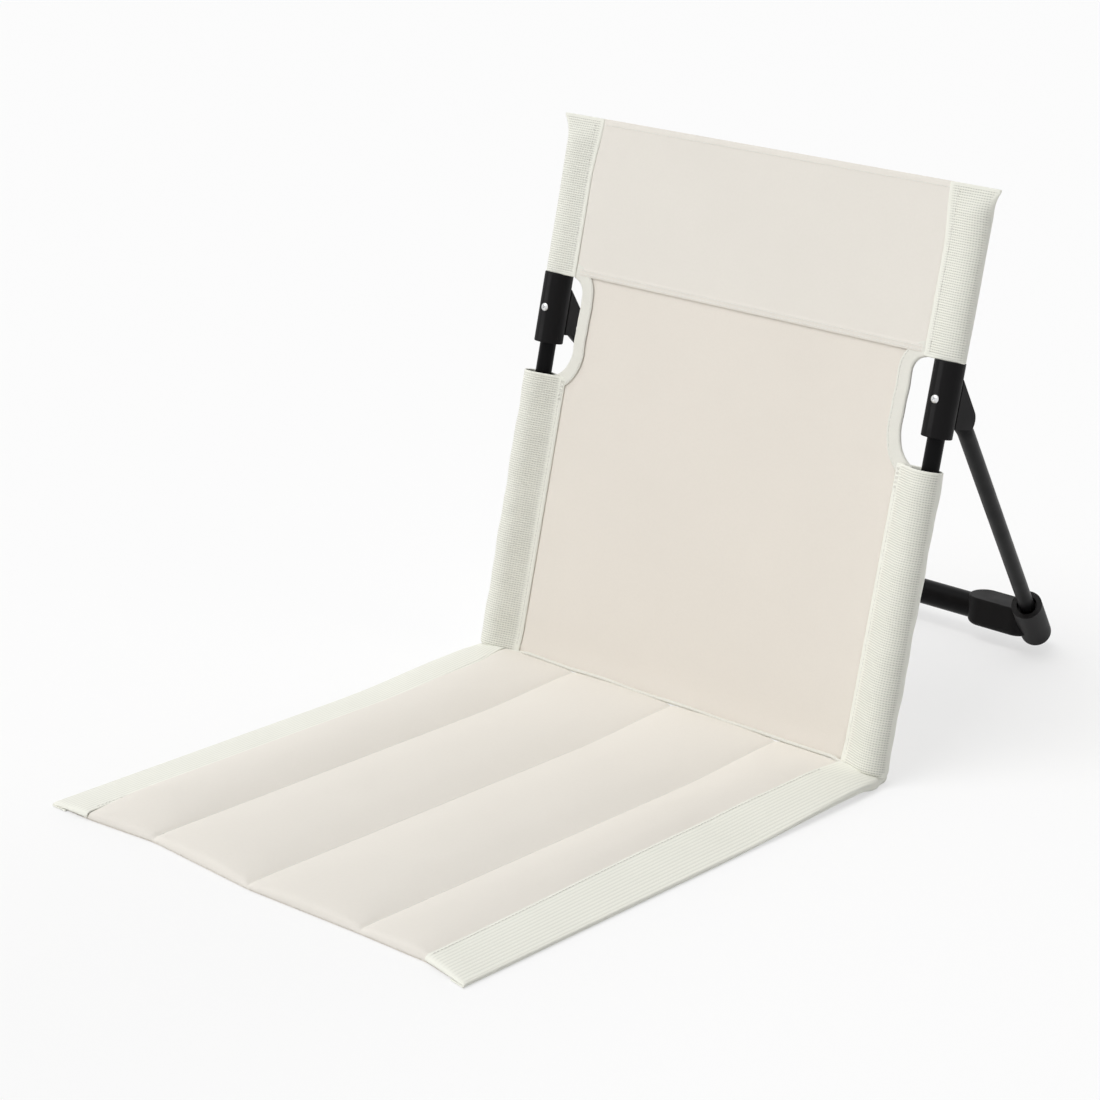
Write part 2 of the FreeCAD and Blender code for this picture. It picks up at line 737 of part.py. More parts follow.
def make_seat_webbing(name, side):
    """A border of ribbed webbing folded round one long edge, with a tail under the upright."""
    body = new_body(f"{name}_seat_webbing")
    fold = new_sketch(body, "XZ_Plane", "fold", ("0", "0", "webbing_rear"))
    corners = [
        ("seat_half - webbing_under", "0"),
        ("seat_half - webbing_thick", "0", "out", "webbing_thick"),
        ("seat_half", "webbing_thick"),
        ("seat_half", "webbing_top - webbing_thick", "out", "webbing_thick"),
        ("seat_half - webbing_thick", "webbing_top"),
        ("seat_half - webbing_width", "webbing_top"),
        ("seat_half - webbing_width", "webbing_top - webbing_thick"),
        ("seat_half - webbing_thick", "webbing_top - webbing_thick"),
        ("seat_half - webbing_thick", "webbing_thick"),
        ("seat_half - webbing_under", "webbing_thick"),
    ]
    outline(fold, corners if side > 0 else mirrored(corners))
    pad(body, fold, "seat_depth - webbing_rear")
    tail = new_sketch(body, "XY_Plane", "tail")
    corners = [
        ("seat_half - webbing_under", "-webbing_rear"),
        ("seat_half - webbing_thick", "-webbing_rear"),
        ("seat_half - webbing_thick", "seat_tail"),
        ("seat_half - webbing_under", "seat_tail"),
    ]
    outline(tail, corners if side > 0 else mirrored(corners))
    pad(body, tail, "cover_thick")


# Rear prop

def make_leg(name, side):
    """One leg of the prop: a tube that bends inward just below its bracket."""
    body = prop_body(f"{name}_prop_leg", signed(side, "upright_x"), "pivot_y", "pivot_z")
    ring = new_sketch(body, "XY_Plane", "ring", ("0", "0", "leg_head"))
    circle(ring, "leg_r")
    circle(ring, "leg_r - leg_wall")
    route = new_sketch(body, "XZ_Plane", "route")
    turn = "in" if side > 0 else "out"
    outline(route, [
        ("0", "leg_head"),
        ("0", "bend_reach - leg_bend_at", turn, "leg_bend_radius"),
        (signed(side, "-bend_reach * sin(splay)"), "-leg_bend_at - bend_reach * cos(splay)"),
        (signed(side, "-leg_run * sin(splay)"), "-leg_bend_at - leg_run * cos(splay)"),
    ], closed=False)
    pipe = body.newObject("PartDesign::AdditivePipe", f"{body.Name}_pipe")
    pipe.Profile = ring
    pipe.Spine = (route, [])
    body.Tip = pipe
    hole = new_sketch(body, "YZ_Plane", "pin_hole")
    circle(hole, "pin_r + pin_run")
    pocket(body, hole, "2 * leg_dia", both=True)


def make_leg_plug(name, side):
    """The plastic plug in a leg's head, which keeps the tube round at the pin."""
    body = prop_body(f"{name}_leg_plug", signed(side, "upright_x"), "pivot_y", "pivot_z")
    plug = new_sketch(body, "XY_Plane", "plug", ("0", "0", "-leg_head"))
    circle(plug, "leg_r - leg_wall - plug_fit")
    pad(body, plug, "2 * leg_head")
    hole = new_sketch(body, "YZ_Plane", "pin_hole")
    circle(hole, "pin_r + pin_run")
    pocket(body, hole, "2 * leg_dia", both=True)


def make_foot_elbow(name, side):
    """A moulded corner: a slanting socket for the leg and a level arm for the crossbar."""
    body = prop_body(f"{name}_foot_elbow", signed(side, "foot_x"), "foot_y", "arm_rise")
    arm = new_sketch(body, "XY_Plane", "arm", axis=(-1, 0, 0), angle="prop_tilt")
    half = "arm_deep / 2"
    corners = [
        (f"{half} - arm_length", f"-{half}"),
        (f"-{half}", f"-{half}", "out", half),
        ("0", "0", "out", half),
        (f"-{half}", half),
        (f"{half} - arm_length", half, "out", half),
        ("-arm_length", "0", "out", half),
    ]
    outline(arm, corners if side > 0 else mirrored(corners))
    pad(body, arm, "arm_tall", both=True)
    tilt = math.radians(number("prop_tilt"))
    level = FreeCAD.Vector(0, math.sin(tilt), math.cos(tilt))
    top = number("arm_tall / 2")
    round_edges(body, "arm_edge", lambda edge: lies_at(edge, level, top))
    round_edges(body, "arm_round", lambda edge: lies_at(edge, level, -top))

    slant = {"axis": (0, side, 0), "angle": "splay"}
    socket = new_sketch(body, "XY_Plane", "socket", along_leg(side, "-socket_heel"), **slant)
    circle(socket, "socket_r")
    pad(body, socket, "socket_heel + socket_rise")
    heel = FreeCAD.Vector(*[number(part) for part in along_leg(side, "-socket_heel")])
    round_edges(body, "socket_round", lambda edge: is_circle_at(edge, heel))

    bore = new_sketch(body, "XY_Plane", "leg_bore", along_leg(side, "leg_seat - leg_fit"), **slant)
    circle(bore, "leg_r + leg_fit")
    pocket(body, bore, "socket_rise", reverse=True)
    mouth = new_sketch(body, "XY_Plane", "mouth", along_leg(side, "socket_rise - mouth_depth"), **slant)
    circle(mouth, "leg_r + mouth_gap")
    pocket(body, mouth, "mouth_depth + socket_r", reverse=True)
    bar_bore = new_sketch(body, "YZ_Plane", "bar_bore", ("0", "0", signed(side, "bar_seat - arm_length")))
    circle(bar_bore, "bar_r + bar_fit")
    pocket(body, bar_bore, "bar_seat", reverse=side < 0)


def along_leg(side, distance):
    """A point on the leg's line, at a distance up from the foot."""
    return (signed(side, f"({distance}) * sin(splay)"), "0", f"({distance}) * cos(splay)")


def lies_at(edge, way, height):
    """Whether both ends of an edge lie at a height along the given way."""
    return all(abs(vertex.Point.dot(way) - height) < 0.01 for vertex in edge.Vertexes)


def is_circle_at(edge, centre):
    """Whether an edge is round about the given centre."""
    return isinstance(edge.Curve, Part.Circle) and edge.Curve.Center.distanceToPoint(centre) < 0.01


def make_crossbar():
    """The tube between the two feet."""
    body = prop_body("prop_crossbar", "0", "foot_y", "arm_rise")
    tube(body, "YZ_Plane", "bar_r", "bar_wall", "2 * bar_half", both=True)


def build():
    """Make every piece, first those that come in pairs."""
    for name, side in SIDES.items():
        make_upright(name, side)
        make_end_cap(name, side, "top")
        make_end_cap(name, side, "foot")
        make_bracket(name, side)
        make_hinge_pin(name, side)
        make_bracket_rivet(name, side)
        make_lower_sleeve(name, side)
        make_upper_sleeve(name, side)
        make_cutout_binding(name, side)
        make_seat_webbing(name, side)
        make_leg(name, side)
        make_leg_plug(name, side)
        make_foot_elbow(name, side)
    make_back_panel()
    make_headrest_panel()
    make_seam_piping()
    make_seat_top_cover()
    make_seat_foam()
    make_seat_bottom_cover()
    make_crossbar()
    doc.recompute()


def check():
    """Stop if any object failed or any piece is not a sound solid."""
    for thing in doc.Objects:
        if "Invalid" in thing.State or "Error" in thing.State:
            raise ValueError(f"{thing.Label} failed: {thing.State}")
    for body in sub_parts:
        if body.Shape.isNull() or not body.Shape.isValid() or not body.Shape.Solids:
            raise ValueError(f"{body.Label} is not a sound solid")


def write():
    """Write each piece to its own file."""
    os.makedirs("parts", exist_ok=True)
    for body in sub_parts:
        body.Shape.exportStep(os.path.join("parts", body.Label + ".step"))
        print(body.Label, len(body.Shape.Solids), round(body.Shape.Volume))


fill_sheet()
build()
check()
write()
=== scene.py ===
"""Looks of a legless folding chair, built round the packed model of its parts.

Every length is in metres and every point in the frame of the model: X to the right of a person who
faces the chair, Y to the rear and Z up.  Points of the back are first given as (x, back, up) in the
frame that leans with the uprights: back is the distance behind their axes, up the distance along them.
"""
import json
import math

import bpy
import numpy as np
from bpy.props import FloatProperty, FloatVectorProperty, PointerProperty
from mathutils import Matrix, Vector
from mathutils.bvhtree import BVHTree


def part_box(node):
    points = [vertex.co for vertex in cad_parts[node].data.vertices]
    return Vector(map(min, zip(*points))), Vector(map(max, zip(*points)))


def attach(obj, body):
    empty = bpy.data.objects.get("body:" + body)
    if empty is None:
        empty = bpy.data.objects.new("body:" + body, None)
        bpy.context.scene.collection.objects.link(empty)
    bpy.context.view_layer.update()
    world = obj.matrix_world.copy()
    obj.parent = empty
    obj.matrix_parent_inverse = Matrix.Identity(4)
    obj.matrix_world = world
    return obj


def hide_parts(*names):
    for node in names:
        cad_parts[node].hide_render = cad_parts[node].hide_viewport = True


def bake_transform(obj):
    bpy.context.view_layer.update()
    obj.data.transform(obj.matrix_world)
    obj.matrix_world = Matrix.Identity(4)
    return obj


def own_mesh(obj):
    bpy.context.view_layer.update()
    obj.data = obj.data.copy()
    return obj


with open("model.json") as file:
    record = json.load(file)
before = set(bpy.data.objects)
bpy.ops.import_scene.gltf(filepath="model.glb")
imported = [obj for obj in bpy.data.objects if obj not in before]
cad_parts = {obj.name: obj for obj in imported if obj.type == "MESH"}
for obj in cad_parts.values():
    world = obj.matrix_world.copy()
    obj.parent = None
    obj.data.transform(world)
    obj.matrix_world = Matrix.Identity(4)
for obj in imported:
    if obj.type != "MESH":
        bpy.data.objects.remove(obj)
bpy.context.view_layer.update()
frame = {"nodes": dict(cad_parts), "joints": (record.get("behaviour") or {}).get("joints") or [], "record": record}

bl_info = {
    "name": "Folding floor chair",
    "version": (1, 0, 0),
    "blender": (4, 5, 0),
    "location": "View3D > Sidebar > Floor chair",
    "description": "Dresses the packed floor chair with cloth, webbing, stitching and finishes",
    "category": "Object",
}

SIDES = {"left": -1, "right": 1}
FOLD_LINE = Vector(next(joint["pos_m"] for joint in frame["joints"] if joint["name"] == "back_fold"))
UPRIGHT_X = sum(corner.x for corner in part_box("right_upright")) / 2
SEAT_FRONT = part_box("seat_bottom_cover")[0].y
SEAT_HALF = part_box("right_seat_webbing")[1].x
CLOTH_MAP = "cloth"
RIBS = "ribs"
# the share applies both to the depth of the grooves and to the painted shade in them
FLAT_RIBS = 0.34  # how strongly the ribs show on the stretched seat borders, against 1 on the sleeves
TINY = 1e-12  # keeps a length that is divided by from being nothing


# Settings that a user would change

def length(name, description, default):
    """A length setting."""
    return FloatProperty(name=name, description=description, default=default, unit="LENGTH", precision=4)


def angle(name, description, degrees):
    """An angle setting."""
    return FloatProperty(
        name=name, description=description, default=math.radians(degrees), subtype="ANGLE")


def amount(name, description, default):
    """A plain number."""
    return FloatProperty(name=name, description=description, default=default)


def colour(name, description, default):
    """A colour setting."""
    return FloatVectorProperty(
        name=name, description=description, default=default, subtype="COLOR", size=3, min=0, max=1)


class SeatSettings(bpy.types.PropertyGroup):
    """Sizes of the seat mat."""
    left_border: length("Left border", "Width of the webbing on top of the left edge", 0.0365)
    right_border: length("Right border", "Width of the webbing on top of the right edge", 0.0410)
    border_under: length("Border below", "Width of the webbing below the mat", 0.014)
    border_top: length("Border height", "Height of the webbing's top face at the outer edge", 0.0030)
    border_swell: length("Border swell", "Rise of the webbing from its outer to its inner edge", 0.0033)
    seam_x: length("Seam spacing", "Distance between neighbouring seams", 0.101)
    seam_height: length("Seam height", "Height of the seams over the floor", 0.0056)
    seam_groove: length("Seam groove", "Depth of the narrow groove that the thread draws", 0.0012)
    crown: length("Crown", "Rise of the two middle channels over their seams", 0.0042)
    outer_crown: length("Outer crown", "Rise of the two outer channels", 0.0024)
    shoulder: length("Shoulder", "How far the left channel stands above its border", 0.0045)
    end_rise: length("End rise", "Rise of a channel at its sewn ends", 0.0022)
    end_taper: length("End taper", "Length over which a channel swells from its sewn end", 0.026)
    rear_slope: length("Rear slope", "Length over which the seams rise to the fold", 0.11)
    edge_lift: length("Edge lift", "Rise of the borders' outer edges off the floor before the fold", 0.0032)


class BackSettings(bpy.types.PropertyGroup):
    """Sizes of the cloth back."""
    lean: angle("Lean", "Angle of the uprights from the vertical", 12)
    height: length("Height", "Top of the back, along the uprights", 0.438)
    panel_front: length("Panel front", "Distance of the cloth before the axes of the uprights", 0.003)
    bow: length("Bow", "How far the middle of the cloth sags to the rear", 0.003)
    headrest_low: length("Headrest foot", "Foot of the second layer, along the uprights", 0.315)
    hem: length("Hem", "Width of the turned hem of the second layer", 0.0054)
    bay_x: length("Bay", "Distance of a cut-out's edge from the middle", 0.157)
    bay_corner: length("Bay corner", "Radius of a cut-out's upper corner", 0.013)
    bay_curve: length("Bay curve", "Radius of a cut-out's lower curve", 0.027)
    bay_drop: length("Bay drop", "How far a cut-out's edge runs down behind the lower sleeve", 0.004)
    binding: length("Binding", "Width of the bound edge of a cut-out", 0.0105)
    lower_top: length("Lower sleeve top", "Top of the lower sleeves, along the uprights", 0.233)
    lower_flange: length("Lower flange", "Reach of the lower sleeves' sewn strip", 0.0265)
    upper_low: length("Upper sleeve foot", "Foot of the upper sleeves, along the uprights", 0.31315)
    upper_flange: length("Upper flange", "Reach of the upper sleeves' sewn strip", 0.020)
    lower_wide: length("Lower width", "Half the width of the lower sleeves' loops", 0.0130)
    lower_deep: length("Lower depth", "Half the depth of the lower sleeves' loops", 0.0120)
    lower_ahead: length("Lower slack", "How far the lower sleeves' loops hang before the tubes", 0.0045)
    sleeve_radius: length("Sleeve radius", "Outer radius of a sleeve on its tube", 0.0086)
    ear_out: length("Ear", "Reach of the pointed ears from the uprights", 0.021)
    ear_rise: length("Ear rise", "Length over which a sleeve is drawn flat into its ear", 0.022)


class ClothSettings(bpy.types.PropertyGroup):
    """Cloths, webbing and thread."""
    seat_colour: colour("Seat cloth", "Colour of the seat and the headrest", (0.845, 0.808, 0.744))
    back_colour: colour("Back cloth", "Colour of the back panel", (0.842, 0.791, 0.718))
    webbing_colour: colour("Webbing", "Colour of the ribbed webbing", (0.880, 0.880, 0.800))
    tape_colour: colour("Tape", "Colour of bindings and piping", (0.845, 0.835, 0.765))
    thread_colour: colour("Thread", "Colour of the stitches", (0.86, 0.85, 0.80))
    rib_pitch: length("Rib pitch", "Distance between the ribs of the webbing", 0.0018)
    border_pitch: length("Border rib pitch", "Distance between the ribs of the seat's borders", 0.0030)
    rib_depth: length("Rib depth", "Depth of the grooves between the ribs", 0.00034)
    yarn_pitch: length("Yarn pitch", "Distance between the yarns of the cloth", 0.00062)
    webbing_thick: length("Webbing thickness", "Thickness of the ribbed webbing", 0.0011)
    cloth_thick: length("Cloth thickness", "Thickness of the back's cloth", 0.0009)
    stitch_pitch: length("Stitch pitch", "Distance between two stitches", 0.0034)
    stitch_length: length("Stitch length", "Length of the thread that shows", 0.0025)
    stitch_radius: length("Thread radius", "Radius of the thread", 0.00028)


class FinishSettings(bpy.types.PropertyGroup):
    """Finishes of the hard parts."""
    tube_colour: colour("Tube", "Colour of the coated tubes", (0.0032, 0.0031, 0.0035))
    plastic_colour: colour("Plastic", "Colour of the moulded parts", (0.0070, 0.0066, 0.0070))
    worn_colour: colour("Rubbed edge", "Colour of the plastic along rubbed edges", (0.034, 0.033, 0.034))
    steel_colour: colour("Rivet steel", "Colour of the rivets and pins", (0.78, 0.78, 0.79))


class StageSettings(bpy.types.PropertyGroup):
    """Camera and light."""
    azimuth: angle("Azimuth", "Direction of the camera, to the right of the front", 41.4)
    elevation: angle("Elevation", "Angle of the camera above the floor", 18.5)
    roll: angle("Roll", "Turn of the camera about its own axis", 1.4)
    distance: length("Distance", "Distance of the camera from its target", 2.1423)
    target: FloatVectorProperty(
        name="Target", description="Point in the middle of the picture",
        default=(-0.0376, -0.1079, 0.150), subtype="TRANSLATION", unit="LENGTH", size=3)
    lens: amount("Lens", "Focal length in millimetres, on a sensor 36 mm wide", 95.05)
    sky: amount("Sky", "Strength of the even light from all round", 0.80)
    dark_side: amount("Dark side", "Share of that light which comes from the right", 0.12)
    key: amount("Key", "Strength of the large lamp above the front", 1.46)
    rim: amount("Rim", "Strength of the large lamp behind the back", 0.7)
    floor_colour: colour("Floor", "Colour of the floor", (0.9, 0.9, 0.9))
    floor_white: amount("Floor white", "Share of plain white in the floor as the camera sees it", 0.6)


SETTINGS = {
    "chair_seat": SeatSettings,
    "chair_back": BackSettings,
    "chair_cloth": ClothSettings,
    "chair_finish": FinishSettings,
    "chair_stage": StageSettings,
}


# Shapes

def smooth(value):
    """A soft step from 0 to 1."""
    value = np.clip(value, 0, 1)
    return value * value * (3 - 2 * value)


def round_over(value):
    """A quarter round: 0 at 0 with an upright start, 1 at 1 and after."""
    value = np.clip(value, 0, 1)
    return np.sqrt(np.maximum(1 - (1 - value) ** 2, 0))


def from_back(points, lean):
    """Points (x, back, up) of the leaning frame as points of the model's frame."""
    x, back, up = np.moveaxis(np.asarray(points, float), -1, 0)
    y = back * math.cos(lean) + up * math.sin(lean)
    z = up * math.cos(lean) - back * math.sin(lean)
    return np.stack([x, y, z], axis=-1)


def along(points):
    """The distance along a line of points."""
    steps = np.linalg.norm(np.diff(points, axis=0), axis=1)
    return np.concatenate([[0], np.cumsum(steps)])


def between(place, at, values):
    """The values of a line of points at a distance along it, or at several."""
    return np.stack([np.interp(place, at, column) for column in values.T], axis=-1)


def spaced(points, count):
    """A line of points again, with a given number of points at even steps."""
    at = along(points)
    return between(np.linspace(0, at[-1], count), at, points)


def grid_normals(grid):
    """The direction out of a grid of points at each of them."""
    across = np.gradient(grid, axis=1)
    up = np.gradient(grid, axis=0)
    normals = np.cross(across, up)
    return normals / np.maximum(np.linalg.norm(normals, axis=2, keepdims=True), TINY)


def ribbed(grid, depth, height, shown):
    """A grid pressed in along the grooves; height is 0 in a groove and 1 on a rib."""
    return grid + grid_normals(grid) * (depth * shown * (height - 1))[..., None]


def mesh_object(name, points, faces, uvs=None, ribs=None):
    """A smooth mesh object in the scene.

    uvs gives each point's place on the flat cloth, and ribs says how strongly ribs show there.
    """
    mesh = bpy.data.meshes.new(name)
    mesh.from_pydata(points.tolist(), [], faces)
    if uvs is not None:
        corner_points = np.zeros(len(mesh.loops), np.int32)
        mesh.loops.foreach_get("vertex_index", corner_points)
        layer = mesh.uv_layers.new(name=CLOTH_MAP)
        layer.data.foreach_set("uv", uvs[corner_points].astype(np.float32).ravel())
    if ribs is not None:
        shown = mesh.attributes.new(RIBS, "FLOAT", "POINT")
        shown.data.foreach_set("value", ribs.astype(np.float32).ravel())
    mesh.shade_smooth()
    mesh.validate()
    piece = bpy.data.objects.new(name, mesh)
    bpy.context.scene.collection.objects.link(piece)
    return piece


def grid_faces(rows, columns):
    """The faces of a grid of points numbered row by row, and the numbers round its rim."""
    numbers = np.arange(rows * columns).reshape(rows, columns)
    quads = np.stack([numbers[:-1, :-1], numbers[:-1, 1:], numbers[1:, 1:], numbers[1:, :-1]], axis=-1)
    rim = np.concatenate([numbers[0, :-1], numbers[:-1, -1], numbers[-1, :0:-1], numbers[:0:-1, 0]])
    return quads.reshape(-1, 4), rim


def tube_faces(rings, sides):
    """The faces of a closed tube whose points are numbered ring by ring."""
    faces = [list(reversed(range(sides)))]
    last = (rings - 1) * sides
    for low in range(0, last, sides):
        high = low + sides
        for side in range(sides):
            other = (side + 1) % sides
            faces.append([low + side, low + other, high + other, high + side])
    faces.append(list(range(last, last + sides)))
    return faces


def edge_round(grid, rims, thick):
    """The middle line of a sheet's cut edge, a little outside it, so that the edge is rounded."""
    rows, columns = grid.shape[:2]
    row, column = np.divmod(rims, columns)
    inner_row = np.clip(row, 1, rows - 2)
    inner_column = np.clip(column, 1, columns - 2)
    outward = grid[row, column] - grid[inner_row, inner_column]
    outward /= np.maximum(np.linalg.norm(outward, axis=1, keepdims=True), TINY)
    return outward * thick / 2


def sheet_object(name, grid, thick, uvs, ribs=None):
    """A sheet of cloth: its outer face on a grid of points, its thickness inside, its edge rounded."""
    rows, columns = grid.shape[:2]
    count = rows * columns
    inner = grid - grid_normals(grid) * thick
    quads, rim = grid_faces(rows, columns)
    middle = (grid.reshape(-1, 3)[rim] + inner.reshape(-1, 3)[rim]) / 2 + edge_round(grid, rim, thick)
    following = np.roll(rim, -1)
    middles = 2 * count + np.arange(len(rim))
    next_middles = np.roll(middles, -1)
    faces = np.concatenate([
        quads,
        quads[:, ::-1] + count,
        np.stack([following, rim, middles, next_middles], axis=1),
        np.stack([next_middles, middles, rim + count, following + count], axis=1),
    ])
    points = np.concatenate([grid.reshape(-1, 3), inner.reshape(-1, 3), middle])
    flat = uvs.reshape(-1, 2)
    if ribs is not None:
        ribs = np.concatenate([ribs.ravel(), ribs.ravel(), ribs.ravel()[rim]])
    return mesh_object(name, points, faces.tolist(), np.concatenate([flat, flat, flat[rim]]), ribs)


def plain_map(grid):
    """A cloth map in metres, measured along the middle row and the middle column of a grid."""
    rows, columns = grid.shape[:2]
    u = along(grid[rows // 2])
    v = along(grid[:, columns // 2])
    return np.stack(np.meshgrid(u, v), axis=-1)


def flipped(grid, side):
    """A grid made for the right side, or its mirror image with its faces still outward."""
    if side > 0:
        return grid
    return (grid * np.array([-1, 1, 1]))[:, ::-1]


def paint(piece, material):
    """Give a piece its material, in place of any that it has."""
    piece.data.materials.clear()
    piece.data.materials.append(material)


# Stitches

STROKE_RINGS = ((-1.0, 0.3), (-0.8, 0.85), (-0.3, 1.0), (0.3, 1.0), (0.8, 0.85), (1.0, 0.3))
STROKE_SIDES = 6
STROKE_LIFT = 0.55  # how far a stitch's middle stands over the cloth, against its radius
STROKE_DIP = 1.1  # how far its ends dip from there, against its radius
BEFORE_BACK = -0.05  # rays to the back start here, well before its cloth
OVER_SEAT = 0.1  # rays to the seat start here, well over its top


def lay_on(piece, starts, direction):
    """Where rays from the starts meet a piece: points and the piece's outward directions there."""
    tree = BVHTree.FromObject(piece, bpy.context.evaluated_depsgraph_get())
    hits = [tree.ray_cast(Vector(start), Vector(direction)) for start in starts]
    found = [hit for hit in hits if hit[0] is not None]
    points = np.array([hit[0] for hit in found])
    normals = np.array([hit[1] for hit in found])
    return points, normals


def stroke_points(centre, ahead, out, reach, radius):
    """The points of one stitch: a short thread whose ends dip into the cloth."""
    aside = np.cross(ahead, out)
    turns = np.arange(STROKE_SIDES) * math.tau / STROKE_SIDES
    rings = []
    for place, width in STROKE_RINGS:
        lift = radius * (STROKE_LIFT - STROKE_DIP * place ** 4)
        middle = centre + ahead * place * reach / 2 + out * lift
        ring = np.outer(np.cos(turns), aside) + np.outer(np.sin(turns), out)
        rings.append(middle + ring * radius * width)
    return np.concatenate(rings)


def stitching(name, lines):
    """One piece that holds the stitches of several sewn lines, each a (points, normals) pair."""
    cloth = bpy.context.scene.chair_cloth
    stroke = tube_faces(len(STROKE_RINGS), STROKE_SIDES)
    points = []
    faces = []
    for path, normals in lines:
        at = along(path)
        for place in np.arange(cloth.stitch_pitch / 2, at[-1], cloth.stitch_pitch):
            step = min(place + cloth.stitch_pitch / 2, at[-1])
            centre = between(place, at, path)
            out = between(place, at, normals)
            ahead = between(step, at, path) - centre
            ahead /= max(np.linalg.norm(ahead), TINY)
            out -= ahead * (out @ ahead)
            out /= max(np.linalg.norm(out), TINY)
            first = len(points) * len(STROKE_RINGS) * STROKE_SIDES
            faces += [[first + number for number in face] for face in stroke]
            points.append(stroke_points(centre, ahead, out, cloth.stitch_length, cloth.stitch_radius))
    piece = mesh_object(name, np.concatenate(points), faces)
    paint(piece, finish("thread"))
    return piece


# Materials

def set_socket(tree, socket, value):
    """Give a socket a value, or join it to another node's output."""
    if isinstance(value, bpy.types.NodeSocket):
        tree.links.new(value, socket)
    else:
        socket.default_value = value


def add_node(tree, kind, inputs=None, **settings):
    """A node with its settings, and its inputs set to values or joined to other nodes' outputs."""
    node = tree.nodes.new("ShaderNode" + kind)
    for name, value in settings.items():
        setattr(node, name, value)
    for name, value in (inputs or {}).items():
        set_socket(tree, node.inputs[name], value)
    return node


def calculate(tree, operation, *values):
    """The result of a sum of one, two or three values."""
    return add_node(tree, "Math", dict(enumerate(values)), operation=operation).outputs[0]


def mix_colours(tree, share, first, second):
    """A colour between two others."""
    return add_node(tree, "Mix", {0: share, 6: first, 7: second}, data_type="RGBA").outputs[2]


def noise(tree, place, scale, detail):
    """Uneven values about 0.5; the scale is the number of spots in a metre."""
    return add_node(tree, "TexNoise", {"Vector": place, "Scale": scale, "Detail": detail}).outputs[0]


def ranged(tree, value, low, high, first=0.0, last=1.0):
    """A value that runs from first to last, changed to run from low to high."""
    return add_node(tree, "MapRange", {0: value, 1: first, 2: last, 3: low, 4: high}).outputs[0]


def bumped(tree, strength, distance, height):
    """The direction of a surface that follows a height."""
    return add_node(tree, "Bump", {"Strength": strength, "Distance": distance, "Height": height}).outputs[0]


def tinted(rgb, share):
    """A colour made darker or lighter by a share, as four numbers."""
    return tuple(min(part * share, 1) for part in rgb) + (1,)


def new_material(name):
    """An empty material and its surface shader."""
    material = bpy.data.materials.new(name)
    material.use_nodes = True
    tree = material.node_tree
    return material, tree, tree.nodes["Principled BSDF"]


def cloth_place(tree):
    """The two coordinates on the flat cloth, in metres."""
    place = add_node(tree, "UVMap", uv_map=CLOTH_MAP).outputs[0]
    parts = add_node(tree, "SeparateXYZ", {0: place})
    return place, parts.outputs[0], parts.outputs[1]


def object_place(tree):
    """The place on an object, in metres."""
    return add_node(tree, "TexCoord").outputs["Object"]


def waves(tree, value, pitch, start=0.0):
    """A sine of a length, one wave to each pitch."""
    turned = calculate(tree, "MULTIPLY", value, math.tau / pitch)
    return calculate(tree, "SINE", calculate(tree, "ADD", turned, start))


def shades(tree, share, rgb, dark, light):
    """A colour between a darker and a lighter tint of one colour."""
    return mix_colours(tree, share, tinted(rgb, dark), tinted(rgb, light))


def patches(tree, place, size, rgb, dark, light):
    """Slow uneven patches of two tints of one colour."""
    return shades(tree, noise(tree, place, 1 / size, 3.0), rgb, dark, light)


def set_surface(tree, surface, inputs):
    """Give a surface shader its inputs."""
    for name, value in inputs.items():
        set_socket(tree, surface.inputs[name], value)


def woven_cloth(name, rgb, pitch):
    """A fine plain weave: yarns that cross, slow changes of tone and a soft sheen."""
    material, tree, surface = new_material(name)
    place, u, v = cloth_place(tree)
    crossing = calculate(tree, "MULTIPLY", waves(tree, u, pitch), waves(tree, v, pitch))
    slub = noise(tree, place, 420.0, 4.0)
    yarns = calculate(tree, "MULTIPLY_ADD", crossing, 0.5, 0.5)
    shade = calculate(tree, "MULTIPLY", yarns, slub)
    dyed = patches(tree, place, 0.09, rgb, 0.965, 1.015)
    height = calculate(tree, "ADD", crossing, calculate(tree, "MULTIPLY", slub, 0.8))
    set_surface(tree, surface, {
        "Base Color": mix_colours(tree, shade, dyed, tinted(rgb, 0.93)),
        "Roughness": ranged(tree, slub, 0.74, 0.92),
        "Normal": bumped(tree, 0.35, pitch / 5, height),
        "Specular IOR Level": 0.25,
        "Sheen Weight": 0.03,
    })
    return material


